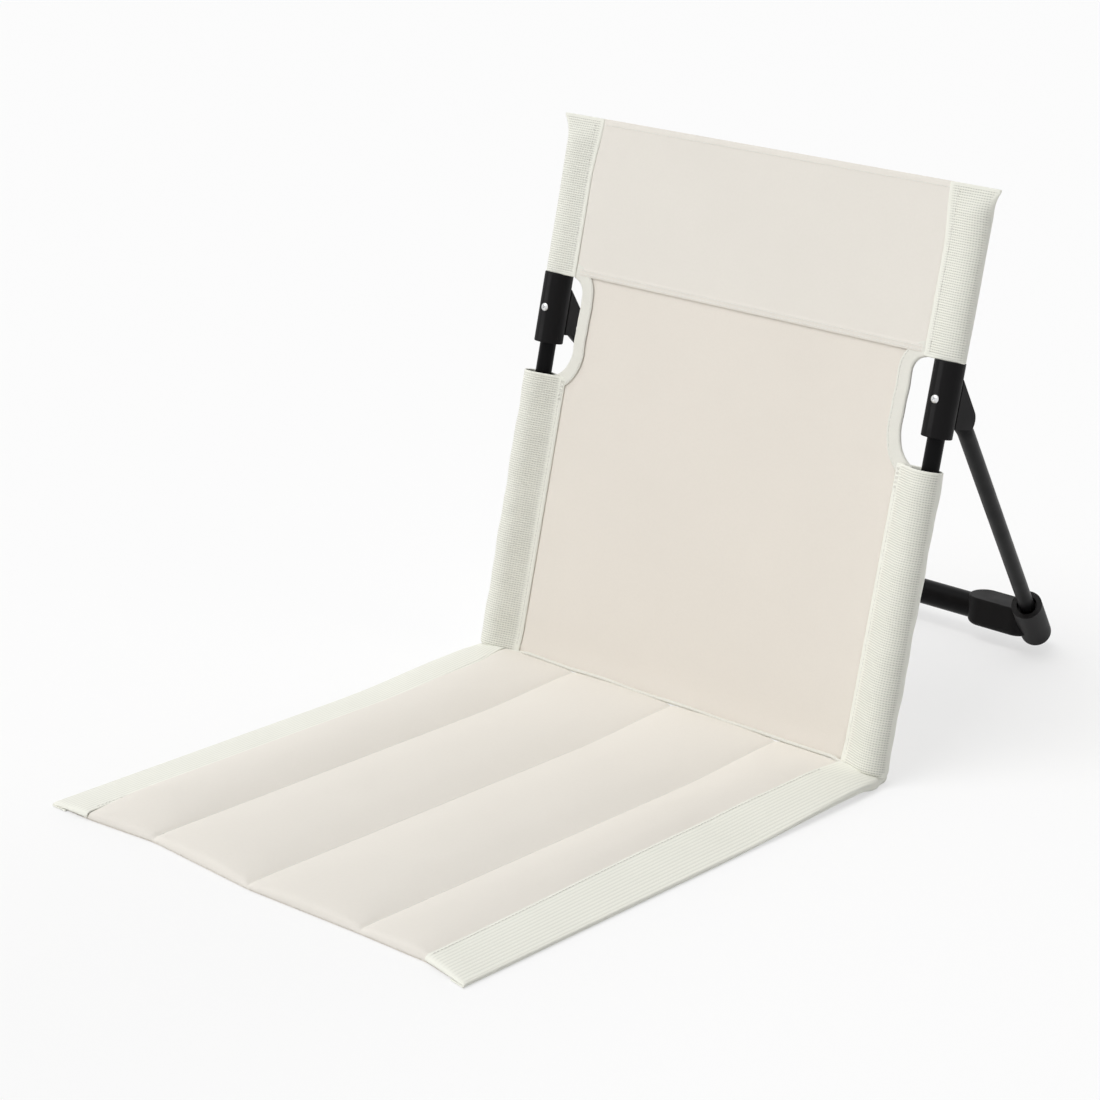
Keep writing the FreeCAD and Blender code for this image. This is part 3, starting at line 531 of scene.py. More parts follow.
def ribbed_webbing(name, rgb, pitch):
    """Webbing whose ribs run across the map's V: dark dashes of painted shade in the grooves between the ribs, and
    twisted yarn on them.

    The dashes of painted shade run together into lines where the ribs are drawn flat.
    """
    material, tree, surface = new_material(name)
    place, u, v = cloth_place(tree)
    shown = add_node(tree, "Attribute", attribute_name=RIBS).outputs["Fac"]
    turn = calculate(tree, "DIVIDE", v, pitch)
    wave = calculate(tree, "COSINE", calculate(tree, "MULTIPLY", turn, math.pi))
    groove = calculate(tree, "POWER", calculate(tree, "ABSOLUTE", wave), 3.5)
    broken = ranged(tree, shown, 0.06, 0.32, FLAT_RIBS, 1.0)
    shade_dash = calculate(tree, "SUBTRACT", waves(tree, u, pitch * 1.17), 1.0)
    shade_dash = calculate(tree, "MULTIPLY_ADD", shade_dash, broken, 1.0)
    # painted shade: dark is 1 in the grooves between the ribs, broken into dashes, where the colour is darkened
    dark = calculate(tree, "MULTIPLY", calculate(tree, "MULTIPLY", groove, shade_dash), shown)
    dyed = patches(tree, place, 0.05, rgb, 0.96, 1.02)
    twist = waves(tree, u, pitch * 0.4, calculate(tree, "MULTIPLY", turn, 2.0))
    height = calculate(tree, "SUBTRACT", calculate(tree, "MULTIPLY", twist, 0.3), dark)
    set_surface(tree, surface, {
        # the base colour is darkened towards 0.60 of the webbing's colour by the painted groove shade
        "Base Color": mix_colours(tree, dark, dyed, tinted(rgb, 0.60)),
        "Roughness": ranged(tree, dark, 0.72, 0.95),
        "Normal": bumped(tree, 0.4, pitch / 8, height),
        "Specular IOR Level": 0.3,
        "Sheen Weight": 0.35,
        "Sheen Roughness": 0.35,
    })
    return material


def plain_tape(name, rgb, pitch):
    """A close narrow tape with a fine slanting twill."""
    material, tree, surface = new_material(name)
    place, u, v = cloth_place(tree)
    twill = waves(tree, calculate(tree, "ADD", u, v), pitch)
    fuzz = noise(tree, place, 900.0, 3.0)
    lines = calculate(tree, "MULTIPLY", calculate(tree, "MULTIPLY_ADD", twill, 0.5, 0.5), fuzz)
    dyed = patches(tree, place, 0.03, rgb, 0.955, 1.015)
    set_surface(tree, surface, {
        "Base Color": mix_colours(tree, lines, dyed, tinted(rgb, 0.88)),
        "Roughness": ranged(tree, fuzz, 0.72, 0.9),
        "Normal": bumped(tree, 0.35, pitch / 6, calculate(tree, "ADD", twill, fuzz)),
        "Specular IOR Level": 0.3,
        "Sheen Weight": 0.03,
    })
    return material


def sewing_thread(name, rgb):
    """Spun thread: fine fibres and a soft shine."""
    material, tree, surface = new_material(name)
    fibre = noise(tree, object_place(tree), 2600.0, 2.0)
    set_surface(tree, surface, {
        "Base Color": shades(tree, fibre, rgb, 0.85, 1.05),
        "Roughness": 0.62,
        "Normal": bumped(tree, 0.3, 0.0001, fibre),
    })
    return material


def coated_tube(name, rgb):
    """Satin black powder coat: a faint orange peel and uneven gloss."""
    material, tree, surface = new_material(name)
    place = object_place(tree)
    peel = noise(tree, place, 750.0, 2.0)
    haze = noise(tree, place, 45.0, 5.0)
    set_surface(tree, surface, {
        "Base Color": shades(tree, haze, rgb, 0.8, 1.25),
        "Roughness": ranged(tree, haze, 0.30, 0.42, 0.3, 0.7),
        "Normal": bumped(tree, 0.12, 0.00015, peel),
        "Specular IOR Level": 0.08,
    })
    return material


def moulded_plastic(name, rgb, worn):
    """Matte moulded plastic: a spark-eroded grain and edges rubbed a little lighter."""
    material, tree, surface = new_material(name)
    place = object_place(tree)
    grain = noise(tree, place, 2300.0, 3.0)
    haze = noise(tree, place, 60.0, 4.0)
    edge = add_node(tree, "NewGeometry").outputs["Pointiness"]
    rubbed = calculate(tree, "MULTIPLY", ranged(tree, edge, 0.0, 1.0, 0.515, 0.58), haze)
    body = shades(tree, haze, rgb, 0.85, 1.2)
    set_surface(tree, surface, {
        "Base Color": mix_colours(tree, rubbed, body, tinted(worn, 1)),
        "Roughness": ranged(tree, haze, 0.48, 0.60, 0.3, 0.7),
        "Normal": bumped(tree, 0.25, 0.00012, grain),
        "Specular IOR Level": 0.10,
    })
    return material


def bright_steel(name, rgb):
    """Plain bright steel with fine random scratches."""
    material, tree, surface = new_material(name)
    scratch = noise(tree, object_place(tree), 3200.0, 3.0)
    set_surface(tree, surface, {
        "Base Color": shades(tree, scratch, rgb, 0.85, 1.05),
        "Roughness": ranged(tree, scratch, 0.22, 0.38),
        "Metallic": 1.0,
    })
    return material


def finish(name):
    """A material of the chair by name, made when it is first asked for."""
    if name in bpy.data.materials:
        return bpy.data.materials[name]
    cloth = bpy.context.scene.chair_cloth
    hard = bpy.context.scene.chair_finish
    makers = {
        "seat_weave": (woven_cloth, cloth.seat_colour, cloth.yarn_pitch),
        "back_weave": (woven_cloth, cloth.back_colour, cloth.yarn_pitch * 0.8),
        "webbing": (ribbed_webbing, cloth.webbing_colour, cloth.rib_pitch),
        "tape": (plain_tape, cloth.tape_colour, cloth.yarn_pitch * 1.5),
        "thread": (sewing_thread, cloth.thread_colour),
        "tube": (coated_tube, hard.tube_colour),
        "plastic": (moulded_plastic, hard.plastic_colour, hard.worn_colour),
        "steel": (bright_steel, hard.steel_colour),
    }
    maker, *values = makers[name]
    return maker(name, *values)


# Back: the sleeves of ribbed webbing

SLEEVE_COLUMNS = 48
RIB_STEPS = 4
RIB_SHAPE = np.array([0.0, 0.8, 1.0, 0.8])
RIB_FADE = 0.002  # length over which the ribs fade beside a smooth hem
LOOP_POINTS = 60
SEWN_WIDTH = 0.003  # width of a sleeve's strip that its seam holds flat
FOLD_BEHIND = 0.002  # how far a sleeve's smooth outer fold lies behind its outermost line
FOLD_HALF = 0.0045  # half the width of that fold
FOLD_FADE = 0.0015  # length over which the ribs fade beside it


def rib_height(count):
    """The height of each of a number of lines across the ribs: 0 in a groove and 1 on a rib."""
    return RIB_SHAPE[np.arange(count) % RIB_STEPS]


def loop_line(flange, centre, reach, half, loop_back, seam_back, seam_half):
    """The section of a sleeve: webbing drawn tight from its sewn strip, round an oval loop and back.

    The loop has its centre at (centre, loop_back), a half width of reach and a half depth of half.
    Points are (x, back), with x outward from the upright.
    """
    hold = SEWN_WIDTH - flange
    ends = []
    for way in (-1, 1):
        x = (hold - centre) / reach
        y = (seam_back + way * seam_half - loop_back) / half
        turn = math.acos(min(1 / math.hypot(x, y), 1))
        ends.append(math.atan2(y, x) % math.tau - way * turn)
    turns = np.linspace(ends[0] - math.tau, ends[1], LOOP_POINTS)
    loop = np.stack([centre + reach * np.cos(turns), loop_back + half * np.sin(turns)], axis=1)
    front = np.array([[-flange, seam_back - seam_half], [hold, seam_back - seam_half]])
    rear = np.array([[hold, seam_back + seam_half], [-flange, seam_back + seam_half]])
    return np.concatenate([front, loop, rear])


def rounded_line(line, passes=3):
    """A line of points with its corners eased, and its ends kept."""
    for _ in range(passes):
        line[1:-1] = (line[:-2] + 2 * line[1:-1] + line[2:]) / 4
    return line


def sleeve_piece(name, side, ups, sections, shown_ribs, hem):
    """A sleeve of webbing through its sections, one to each distance along the upright.

    Its ribs end at a smooth hem along both sewn edges and at a smooth fold along its outer side.
    """
    back = bpy.context.scene.chair_back
    cloth = bpy.context.scene.chair_cloth
    lines = [rounded_line(spaced(section, SLEEVE_COLUMNS)) for section in sections]
    grid = np.array([[(UPRIGHT_X + x, depth, up) for x, depth in line] for line, up in zip(lines, ups)])
    u = np.array([along(line) for line in lines])
    from_edge = np.minimum(u, u[:, -1:] - u)
    outermost = np.array([across[np.argmax(line[:, 0])] for across, line in zip(u, lines)])
    from_fold = np.abs(u - outermost[:, None] - FOLD_BEHIND)
    # shown sets how deep the grooves are pressed and how strong the painted shade in them is; both fade at the
    # hems and at the outer fold
    shown = shown_ribs[:, None] * smooth((from_edge - hem) / RIB_FADE)
    shown = shown * smooth((from_fold - FOLD_HALF) / FOLD_FADE)
    height = np.repeat(rib_height(len(ups))[:, None], SLEEVE_COLUMNS, axis=1)
    solid = ribbed(from_back(grid, back.lean), cloth.rib_depth, height, shown)
    uvs = np.stack([u, np.repeat(ups[:, None] - ups[0], SLEEVE_COLUMNS, axis=1)], axis=-1)
    if side < 0:
        uvs = uvs[:, ::-1]
        shown = shown[:, ::-1]
    piece = sheet_object(name + "_webbing", flipped(solid, side), cloth.webbing_thick, uvs, shown)
    paint(piece, finish("webbing"))
    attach(piece, "back")
    return piece


def rib_heights(low, high, pitch):
    """Distances along an upright, four to each rib."""
    return np.arange(low, high, pitch / RIB_STEPS)


def lower_sleeve(name, side):
    """The wide sleeve below the cut-out: slack before the tube and rounded under its foot.
    """
    back = bpy.context.scene.chair_back
    pitch = bpy.context.scene.chair_cloth.rib_pitch
    foot_gap = 0.002
    foot_rise = 0.007
    foot_share = 0.45
    seam_half = 0.0016
    side_hem = 0.0045
    top_hem = 0.003
    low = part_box("right_lower_sleeve")[0].z / math.cos(back.lean) + foot_gap
    ups = rib_heights(low, back.lower_top, pitch)
    sewn_x = UPRIGHT_X - back.lower_flange
    sections = []
    for up in ups:
        foot = foot_share + (1 - foot_share) * round_over((up - low) / foot_rise)
        ease = 0.0003 * math.sin(up * 90 + side) + 0.0002 * math.sin(up * 210)
        seam_back = float(panel_depth(np.array(sewn_x), np.array(up)))
        sections.append(loop_line(
            back.lower_flange, 0, back.lower_wide * foot + ease, back.lower_deep * foot + ease,
            -back.lower_ahead * foot, seam_back, seam_half))
    shown = smooth((back.lower_top - ups) / top_hem)
    piece = sleeve_piece(name, side, ups, sections, shown, side_hem)
    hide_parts(name)
    behind = from_back((0, 1, 0), back.lean)
    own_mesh(piece)


def upper_sleeve(name, side):
    """The loose sleeve above the cut-out, drawn flat into a pointed ear at its top."""
    back = bpy.context.scene.chair_back
    pitch = bpy.context.scene.chair_cloth.rib_pitch
    loop_out = 0.0125
    loop_in = 0.013
    flat_gap = 0.006
    flat_half = 0.0013
    tip_round = 0.003
    tip_cut = 0.002
    flange_growth = 0.004
    growth_length = 0.05
    seam_half = 0.0019
    side_hem = 0.0022
    foot_hem = 0.004
    top_hem = 0.003
    ups = rib_heights(back.upper_low, back.height, pitch)
    sections = []
    for up in ups:
        ear = np.clip((up - back.height + back.ear_rise) / back.ear_rise, 0, 1)
        flat = smooth(ear)
        tip = 1 - round_over((back.height - up) / tip_round)
        out = loop_out + (back.ear_out - loop_out) * ear ** 2.2 - tip_cut * tip
        inner = loop_in + (back.upper_flange - flat_gap - loop_in) * flat
        half = back.sleeve_radius + (flat_half - back.sleeve_radius) * flat
        half += 0.0004 * (1 - flat) * math.sin(up * 70 + 2 * side)
        grown = smooth((up - back.height + growth_length) / growth_length)
        flange = back.upper_flange + flange_growth * grown
        sections.append(loop_line(
            flange, (out - inner) / 2, (out + inner) / 2, half,
            -back.panel_front * flat, -back.panel_front, seam_half))
    shown = smooth((ups - back.upper_low) / foot_hem) * smooth((back.height - ups) / top_hem)
    piece = sleeve_piece(name, side, ups, sections, shown, side_hem)
    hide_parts(name)


# Back: panel, headrest, bindings and piping

PANEL_LOW = 0.0085  # foot of the panel, along the uprights
PANEL_COLUMNS = 73
SEWN_LAP = 0.0015  # how far the back's cloth reaches under the sleeves' sewn strips
FOOT_FORWARD = 0.0018  # how far the fold draws the panel's foot forward
TAPE_THICK = 0.0005


def bay_edge(ups, inset):
    """How far the cloth reaches from the middle; inset is its distance inside a bay's open edge."""
    back = bpy.context.scene.chair_back
    lower = UPRIGHT_X - back.lower_flange + SEWN_LAP
    upper = UPRIGHT_X - back.upper_flange + SEWN_LAP
    corner_up = back.upper_low - back.bay_corner
    curve_up = back.lower_top + back.bay_curve - back.bay_drop
    corner = back.bay_corner + inset
    curve = back.bay_curve + inset
    rise = np.clip((ups - corner_up) / corner, 0, 1)
    drop = np.clip((curve_up - ups) / curve, 0, 1)
    over = back.bay_x + back.bay_corner - corner * np.sqrt(1 - rise ** 2)
    under = back.bay_x + back.bay_curve - curve * np.sqrt(1 - drop ** 2)
    middle = (corner_up + curve_up) / 2
    return np.where(ups > middle, np.minimum(over, upper), np.minimum(under, lower))


def panel_depth(x, ups):
    """How far the cloth lies behind the axes: a slack middle, drawn forward to the fold at its foot."""
    back = bpy.context.scene.chair_back
    across = np.clip(x / UPRIGHT_X, -1, 1)
    slack = (1 - across ** 2) * np.sin(np.clip(ups / back.height, 0, 1) * math.pi) ** 0.8
    ripple = 0.0004 * np.sin(x * 23 + ups * 9) * np.sin(ups * 17)
    foot = FOOT_FORWARD * (1 - smooth((ups - 0.006) / 0.02))
    return -back.panel_front + back.bow * slack + ripple * slack - foot


def back_sheet(name, ups, edges, depth, thick, material):
    """A sheet of the back whose rows reach from edge to edge."""
    back = bpy.context.scene.chair_back
    shares = np.linspace(-1, 1, PANEL_COLUMNS)
    x = edges[:, None] * shares[None, :]
    up = np.repeat(ups[:, None], len(shares), axis=1)
    grid = from_back(np.stack([x, depth(x, up), up], axis=-1), back.lean)
    piece = sheet_object(name, grid, thick, plain_map(grid))
    paint(piece, material)
    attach(piece, "back")
    return piece


def back_panel():
    """The cloth between the uprights."""
    back = bpy.context.scene.chair_back
    cloth = bpy.context.scene.chair_cloth
    beside = 0.02
    under_binding = 0.004
    bay = np.linspace(back.lower_top - beside, back.upper_low + beside, 60)
    below = np.linspace(PANEL_LOW, bay[0], 50)[:-1]
    above = np.linspace(bay[-1], back.height, 26)[1:]
    ups = np.concatenate([below, bay, above])

    def depth(x, up):
        return panel_depth(x, up) - cloth.cloth_thick / 2

    piece = back_sheet(
        "back_panel_cloth", ups, bay_edge(ups, back.binding - under_binding),
        depth, cloth.cloth_thick, finish("back_weave"))
    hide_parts("back_panel")


def headrest():
    """The second layer before the top of the back, with a turned hem along its foot."""
    back = bpy.context.scene.chair_back
    cloth = bpy.context.scene.chair_cloth
    hem_top = back.headrest_low + back.hem
    hem_step = 0.0006
    hem_swell = 0.0003
    lap = 0.0016
    tuck_lap = 0.0014
    tuck_start = 0.008
    tuck_length = 0.006
    ups = np.concatenate([
        np.linspace(back.headrest_low, hem_top - 0.001, 8),
        np.linspace(hem_top - hem_step, hem_top + hem_step, 4),
        np.linspace(hem_top + 0.002, back.height, 30)])
    edge = UPRIGHT_X - back.upper_flange + SEWN_LAP

    def depth(x, up):
        tucked = smooth((np.abs(x) - edge + tuck_start) / tuck_length)
        swell = hem_swell * (1 - smooth((up - hem_top + hem_step) / (2 * hem_step)))
        return panel_depth(x, up) - lap - (tuck_lap - lap) * tucked - swell * (1 - tucked)

    piece = back_sheet(
        "headrest_cloth", ups, np.full(len(ups), edge), depth, cloth.cloth_thick, finish("seat_weave"))
    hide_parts("headrest_panel")


def bay_line(side):
    """The open edge of a bay from the upper sleeve to the lower one: points and ways into the cloth."""
    back = bpy.context.scene.chair_back
    corner_up = back.upper_low - back.bay_corner
    curve_up = back.lower_top + back.bay_curve - back.bay_drop
    over = np.radians(np.linspace(100, 180, 16))
    under = np.radians(np.linspace(180, 246, 24))
    straight = np.linspace(corner_up, curve_up, 18)[1:-1]
    corner_way = np.stack([np.cos(over), np.sin(over)], axis=1)
    curve_way = np.stack([np.cos(under), np.sin(under)], axis=1)
    corner = np.array([back.bay_x + back.bay_corner, corner_up]) + corner_way * back.bay_corner
    curve = np.array([back.bay_x + back.bay_curve, curve_up]) + curve_way * back.bay_curve
    middle = np.stack([np.full(len(straight), back.bay_x), straight], axis=1)
    ways = np.concatenate([corner_way, np.tile([-1.0, 0.0], (len(straight), 1)), curve_way])
    points = np.concatenate([corner, middle, curve])
    at = along(points)
    held = np.sin(math.pi * at / at[-1])
    wave = 0.0004 * np.sin(at * 120 + 1.5 * side) + 0.0002 * np.sin(at * 330 + side)
    return points + ways * (wave * held)[:, None], ways


def cutout_binding(name, side):
    """The tape folded over the edge of one bay."""
    back = bpy.context.scene.chair_back
    points, ways = bay_line(side)
    half = 0.0011
    edge_stretch = 1.6
    end_tuck = 0.02
    round_turns = np.radians(np.linspace(90, -90, 9))
    strip = np.linspace(1, 0.16, 8)
    section = [(share * back.binding, -half) for share in strip]
    for turn in round_turns:
        section.append((half - half * math.cos(turn) * edge_stretch, -half * math.sin(turn)))
    section += [(share * back.binding, half) for share in reversed(strip)]
    rows = []
    for point, way in zip(points, ways):
        row = []
        for inward, depth in section:
            x, up = point + way * inward
            row.append((x, float(panel_depth(np.array(x), np.array(up))) + depth, up))
        rows.append(row)
    grid = flipped(from_back(np.array(rows), back.lean), side)
    piece = sheet_object(name + "_tape", grid, TAPE_THICK, plain_map(grid))
    paint(piece, finish("tape"))
    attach(piece, "back")
    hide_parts(name)
    float(along(points)[-1]) + end_tuck


def seam_piping():
    """The covered cord sewn along the fold; its ends pass before the sleeves' feet."""
    radius = 0.0015
    sides = 12
    end_forward = 0.0032
    end_drop = 0.0010
    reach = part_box("seat_seam_piping")[1].x
    x = np.linspace(-reach, reach, 260)
    turns = np.linspace(0, math.tau, sides, endpoint=False)
    aside = smooth((np.abs(x) - reach + 0.024) / 0.02)
    middle = np.stack([
        x,
        FOLD_LINE.y + 0.0003 * np.sin(x * 61) - end_forward * aside,
        FOLD_LINE.z + 0.0003 * np.sin(x * 83 + 1) - end_drop * aside], axis=1)
    width = radius * (1 + 0.06 * np.sin(x * 900))
    ring = np.stack([np.zeros(sides), np.cos(turns), np.sin(turns)], axis=1)
    points = np.concatenate([centre + ring * size for centre, size in zip(middle, width)])
    faces = [face[::-1] for face in tube_faces(len(x), sides)]
    uvs = np.stack([np.repeat(x, sides), np.tile(turns * radius, len(x))], axis=1)
    piece = mesh_object("seat_fold_piping", points, faces, uvs)
    paint(piece, finish("tape"))
    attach(piece, "back")
    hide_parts("seat_seam_piping")


def bar_tack_lines(side):
    """Close stitches across the end of a binding, where the lower sleeve begins."""
    back = bpy.context.scene.chair_back
    sewn_x = UPRIGHT_X - back.lower_flange
    ups = np.linspace(back.lower_top - 0.019, back.lower_top - 0.002, 8)
    places = np.linspace(sewn_x + 0.0012, sewn_x + 0.0032, 3)
    return [[(side * x, BEFORE_BACK, up) for up in ups] for x in places]


def back_stitching():
    """All the seams of the back that show as stitches."""
    back = bpy.context.scene.chair_back
    lower_inset = 0.0030
    upper_inset = 0.0042
    binding_inset = 0.0013
    hem_inset = 0.0014
    top_inset = 0.004
    into = from_back(np.array([0, 1, 0]), back.lean)
    lower_ups = np.linspace(0.014, back.lower_top - 0.002, 50)
    upper_ups = np.linspace(back.upper_low + 0.002, back.height - 0.003, 30)
    wanted = []
    for name, side in SIDES.items():
        x = side * (UPRIGHT_X - back.lower_flange + lower_inset)
        wanted.append((name + "_lower_sleeve_webbing", [(x, BEFORE_BACK, up) for up in lower_ups]))
        x = side * (UPRIGHT_X - back.upper_flange + upper_inset)
        wanted.append((name + "_upper_sleeve_webbing", [(x, BEFORE_BACK, up) for up in upper_ups]))
        for line in bar_tack_lines(side):
            wanted.append((name + "_lower_sleeve_webbing", line))
        points, ways = bay_line(side)
        sewn = points + ways * (back.binding - binding_inset)
        wanted.append((name + "_cutout_binding_tape", [(side * x, BEFORE_BACK, up) for x, up in sewn[2:-2]]))
    reach = np.linspace(-1, 1, 60) * (UPRIGHT_X - back.upper_flange - 0.001)
    hem_ups = (back.headrest_low + hem_inset, back.headrest_low + back.hem - hem_inset)
    for up in (*hem_ups, back.height - top_inset):
        wanted.append(("headrest_cloth", [(x, BEFORE_BACK, up) for x in reach]))
    lines = []
    for name, starts in wanted:
        starts = from_back(np.array(starts), back.lean)
        lines.append(lay_on(bpy.data.objects[name], starts, into))
    piece = stitching("back_stitching", lines)
    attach(piece, "back")


# Seat mat

MAT_REAR = FOLD_LINE.y - 0.0014
FRONT_PULL = (
    (-0.200, 0.0), (-0.163, 0.0005), (-0.101, 0.0070), (0.0, 0.0012),
    (0.101, 0.0062), (0.159, 0.0075), (0.200, 0.0))
PAD_INSET = 0.0012  # how far the padding ends behind the front edge
LEFT_SWEEP = 0.0080  # how far the left border's inner edge turns outward at the fold
RIGHT_SWEEP = 0.0045  # the same of the right border
RIGHT_BELLY = 0.0060  # how much wider the right border is along its middle
REAR_LIFT = 0.0060  # how far the borders rise to the fold
BORDER_STEEP = 4.5  # power of a channel's section beside a border
SEAM_STEEP = 2.0  # power of a channel's section beside a seam
NOSE_LENGTH = 0.0045  # length of the rounded front end of the mat
NOSE_SHARE = 0.3  # share of its height that the very edge has


def front_pull(x):
    """How far the sewing draws the front edge back from the line between its corners."""
    places, pulls = zip(*FRONT_PULL)
    return np.interp(x, places, pulls)


def front_edge(x):
    """Where the padded middle ends at the front."""
    return SEAT_FRONT + PAD_INSET + front_pull(x)


def nose(ahead):
    """The share of its full height that the mat has at a distance from its front edge."""
    return NOSE_SHARE + (1 - NOSE_SHARE) * round_over(ahead / NOSE_LENGTH)


def inner_edge(side, y):
    """Distance of a border's inner edge from the middle; it is sewn outward towards the fold.

    The right border is sewn wider along its middle.
    """
    seat = bpy.context.scene.chair_seat
    if side < 0:
        return SEAT_HALF - seat.left_border + LEFT_SWEEP * smooth((y + 0.050) / 0.044)
    wider = smooth((y + 0.44) / 0.26) * (1 - smooth((y + 0.14) / 0.10))
    return SEAT_HALF - seat.right_border - RIGHT_BELLY * wider + RIGHT_SWEEP * smooth((y + 0.050) / 0.045)


def border_lift(y):
    """How far the borders rise to the fold at the rear."""
    return REAR_LIFT * smooth((y + 0.165) / 0.14)


def from_seam(x):
    """The distance to the nearest of the three seams."""
    seat = bpy.context.scene.chair_seat
    return np.min([np.abs(x - seam) for seam in (-seat.seam_x, 0, seat.seam_x)], axis=0)


def seam_top(y):
    """The height of the seams along the mat: low at the front, raised to the fold at the rear."""
    seat = bpy.context.scene.chair_seat
    rise = smooth((y - MAT_REAR + seat.rear_slope) / seat.rear_slope)
    drop = 1 - smooth((y - SEAT_FRONT) / seat.end_taper)
    return seat.seam_height + (FOLD_LINE.z - 0.0006 - seat.seam_height) * rise - 0.0008 * drop


def channel_top(x, y):
    """The height of the quilted top: four crowned channels, steep at the borders."""
    seat = bpy.context.scene.chair_seat
    edge = np.where(x < 0, inner_edge(-1, y), inner_edge(1, y))
    size = np.abs(x)
    inner = size < seat.seam_x
    middle = np.where(inner, seat.seam_x / 2, (seat.seam_x + edge) / 2)
    half = np.where(inner, seat.seam_x / 2, (edge - seat.seam_x) / 2)
    place = np.clip((size - middle) / half, -1, 1)
    steep = np.where(~inner & (place > 0), BORDER_STEEP, SEAM_STEEP)
    bulge = (1 - np.abs(place) ** steep) ** 0.85
    front = round_over((y - SEAT_FRONT) / seat.end_taper * 0.9)
    rear = round_over((MAT_REAR - y) / seat.end_taper * 0.9)
    crown = np.where(inner, seat.crown, seat.outer_crown)
    rise = (seat.end_rise + (crown - seat.end_rise) * front) * (0.25 + 0.75 * rear)
    base = seam_top(y)
    border = seat.border_top + seat.border_swell - 0.0008 + border_lift(y)
    border = np.minimum(border, FOLD_LINE.z - 0.0012)
    slope = np.clip((size - seat.seam_x) / (edge - seat.seam_x), 0, 1)
    groove = seat.seam_groove * np.exp(-(from_seam(x) / 0.0016) ** 2)
    proud = np.where(x < 0, seat.shoulder, 0) * smooth((y - SEAT_FRONT - 0.004) / 0.05)
    proud = proud * rear
    top = base + (border + proud - base) * slope + rise * bulge - groove
    return top - (0.0012 + proud) * smooth((size - edge + 0.0005) / 0.0035)


def mat_columns(y):
    """The lines along the mat at one place: closer together at the seams and borders."""
    seat = bpy.context.scene.chair_seat
    left, right = float(inner_edge(-1, y)), float(inner_edge(1, y))
    seams = [-left, -seat.seam_x, 0, seat.seam_x, right]
    near = [0, 0.0012, 0.0035, 0.0075]
    columns = [-left - 0.005, -left - 0.002]
    for first, second in zip(seams[:-1], seams[1:]):
        columns += [first + step for step in near]
        columns += list(np.linspace(first + 0.013, second - 0.013, 14))
        columns += [second - step for step in reversed(near[1:])]
    return np.array(columns + [right, right + 0.002, right + 0.005])


def pad_mesh(fullness):
    """The closed form of the mat's padded middle, with a share of its full crown, and its sewn points."""
    front_shares = [0, 0.001, 0.003, 0.007, 0.013]
    rear_shares = [0.988, 0.995, 1]
    shares = np.concatenate([front_shares, np.linspace(0.022, 0.978, 78), rear_shares])
    x = np.array([mat_columns(SEAT_FRONT + (MAT_REAR - SEAT_FRONT) * share) for share in shares])
    start = front_edge(x)
    y = start + (MAT_REAR - start) * shares[:, None]
    low = seam_top(y)
    top = low + (channel_top(x, y) - low) * fullness
    bottom = 0.0011
    top = bottom + (top - bottom) * nose(y - start)
    upper = np.stack([x, y, top], axis=-1)
    lower = np.stack([x, y, np.full_like(x, bottom)], axis=-1)
    count = x.size
    quads, rim = grid_faces(*x.shape)
    following = np.roll(rim, -1)
    walls = np.stack([following, rim, rim + count, following + count], axis=1)
    faces = np.concatenate([quads, quads[:, ::-1] + count, walls])
    points = np.concatenate([upper.reshape(-1, 3), lower.reshape(-1, 3)])
    edge = np.where(x < 0, inner_edge(-1, y), inner_edge(1, y))
    ends = (shares < 0.006) | (shares > 0.99)
    pinned = (from_seam(x) < 0.0005) | (np.abs(x) > edge - 0.001) | ends[:, None]
    sewn = np.concatenate([pinned.ravel(), np.ones(count, bool)])
    return points, faces, sewn


def swollen(piece, sewn, frames=20, cap=0.006):
    """Puff a padded piece up by a cloth simulation, with its sewn points held, and keep the result."""
    scene = bpy.context.scene
    group = piece.vertex_groups.new(name="sewn")
    group.add(np.flatnonzero(sewn).tolist(), 1.0, "REPLACE")
    cloth = piece.modifiers.new("swell", "CLOTH")
    settings = cloth.settings
    settings.vertex_group_mass = group.name
    settings.quality = 6
    settings.mass = 0.25
    settings.tension_stiffness = 25
    settings.compression_stiffness = 12
    settings.shear_stiffness = 8
    settings.bending_stiffness = 0.6
    settings.use_pressure = True
    settings.uniform_pressure_force = 4
    settings.effector_weights.gravity = 0
    cloth.point_cache.frame_start = 1
    cloth.point_cache.frame_end = frames
    for number in range(1, frames + 1):
        scene.frame_set(number)
    shaped = piece.evaluated_get(bpy.context.evaluated_depsgraph_get()).data
    after = np.zeros(len(shaped.vertices) * 3, np.float32)
    shaped.vertices.foreach_get("co", after)
    after = after.reshape(-1, 3).astype(float)
    piece.modifiers.remove(cloth)
    piece.vertex_groups.remove(group)
    scene.frame_set(1)
    before = np.array([vertex.co for vertex in piece.data.vertices])
    move = after - before
    far = np.linalg.norm(move, axis=1, keepdims=True)
    move *= np.minimum(1, cap / np.maximum(far, TINY))
    return before + move


def puckers(points):
    """Small uneven gathers beside the seams, as sewing leaves them."""
    x, y = points[:, 0], points[:, 1]
    near = from_seam(x)
    gather = np.sin(y * 520 + 3 * np.sin(x * 40)) + 0.6 * np.sin(y * 347 + x * 110 + 1)
    away = np.exp(-near / 0.009) * (1 - np.exp(-near / 0.002))
    return 0.00022 * gather * away


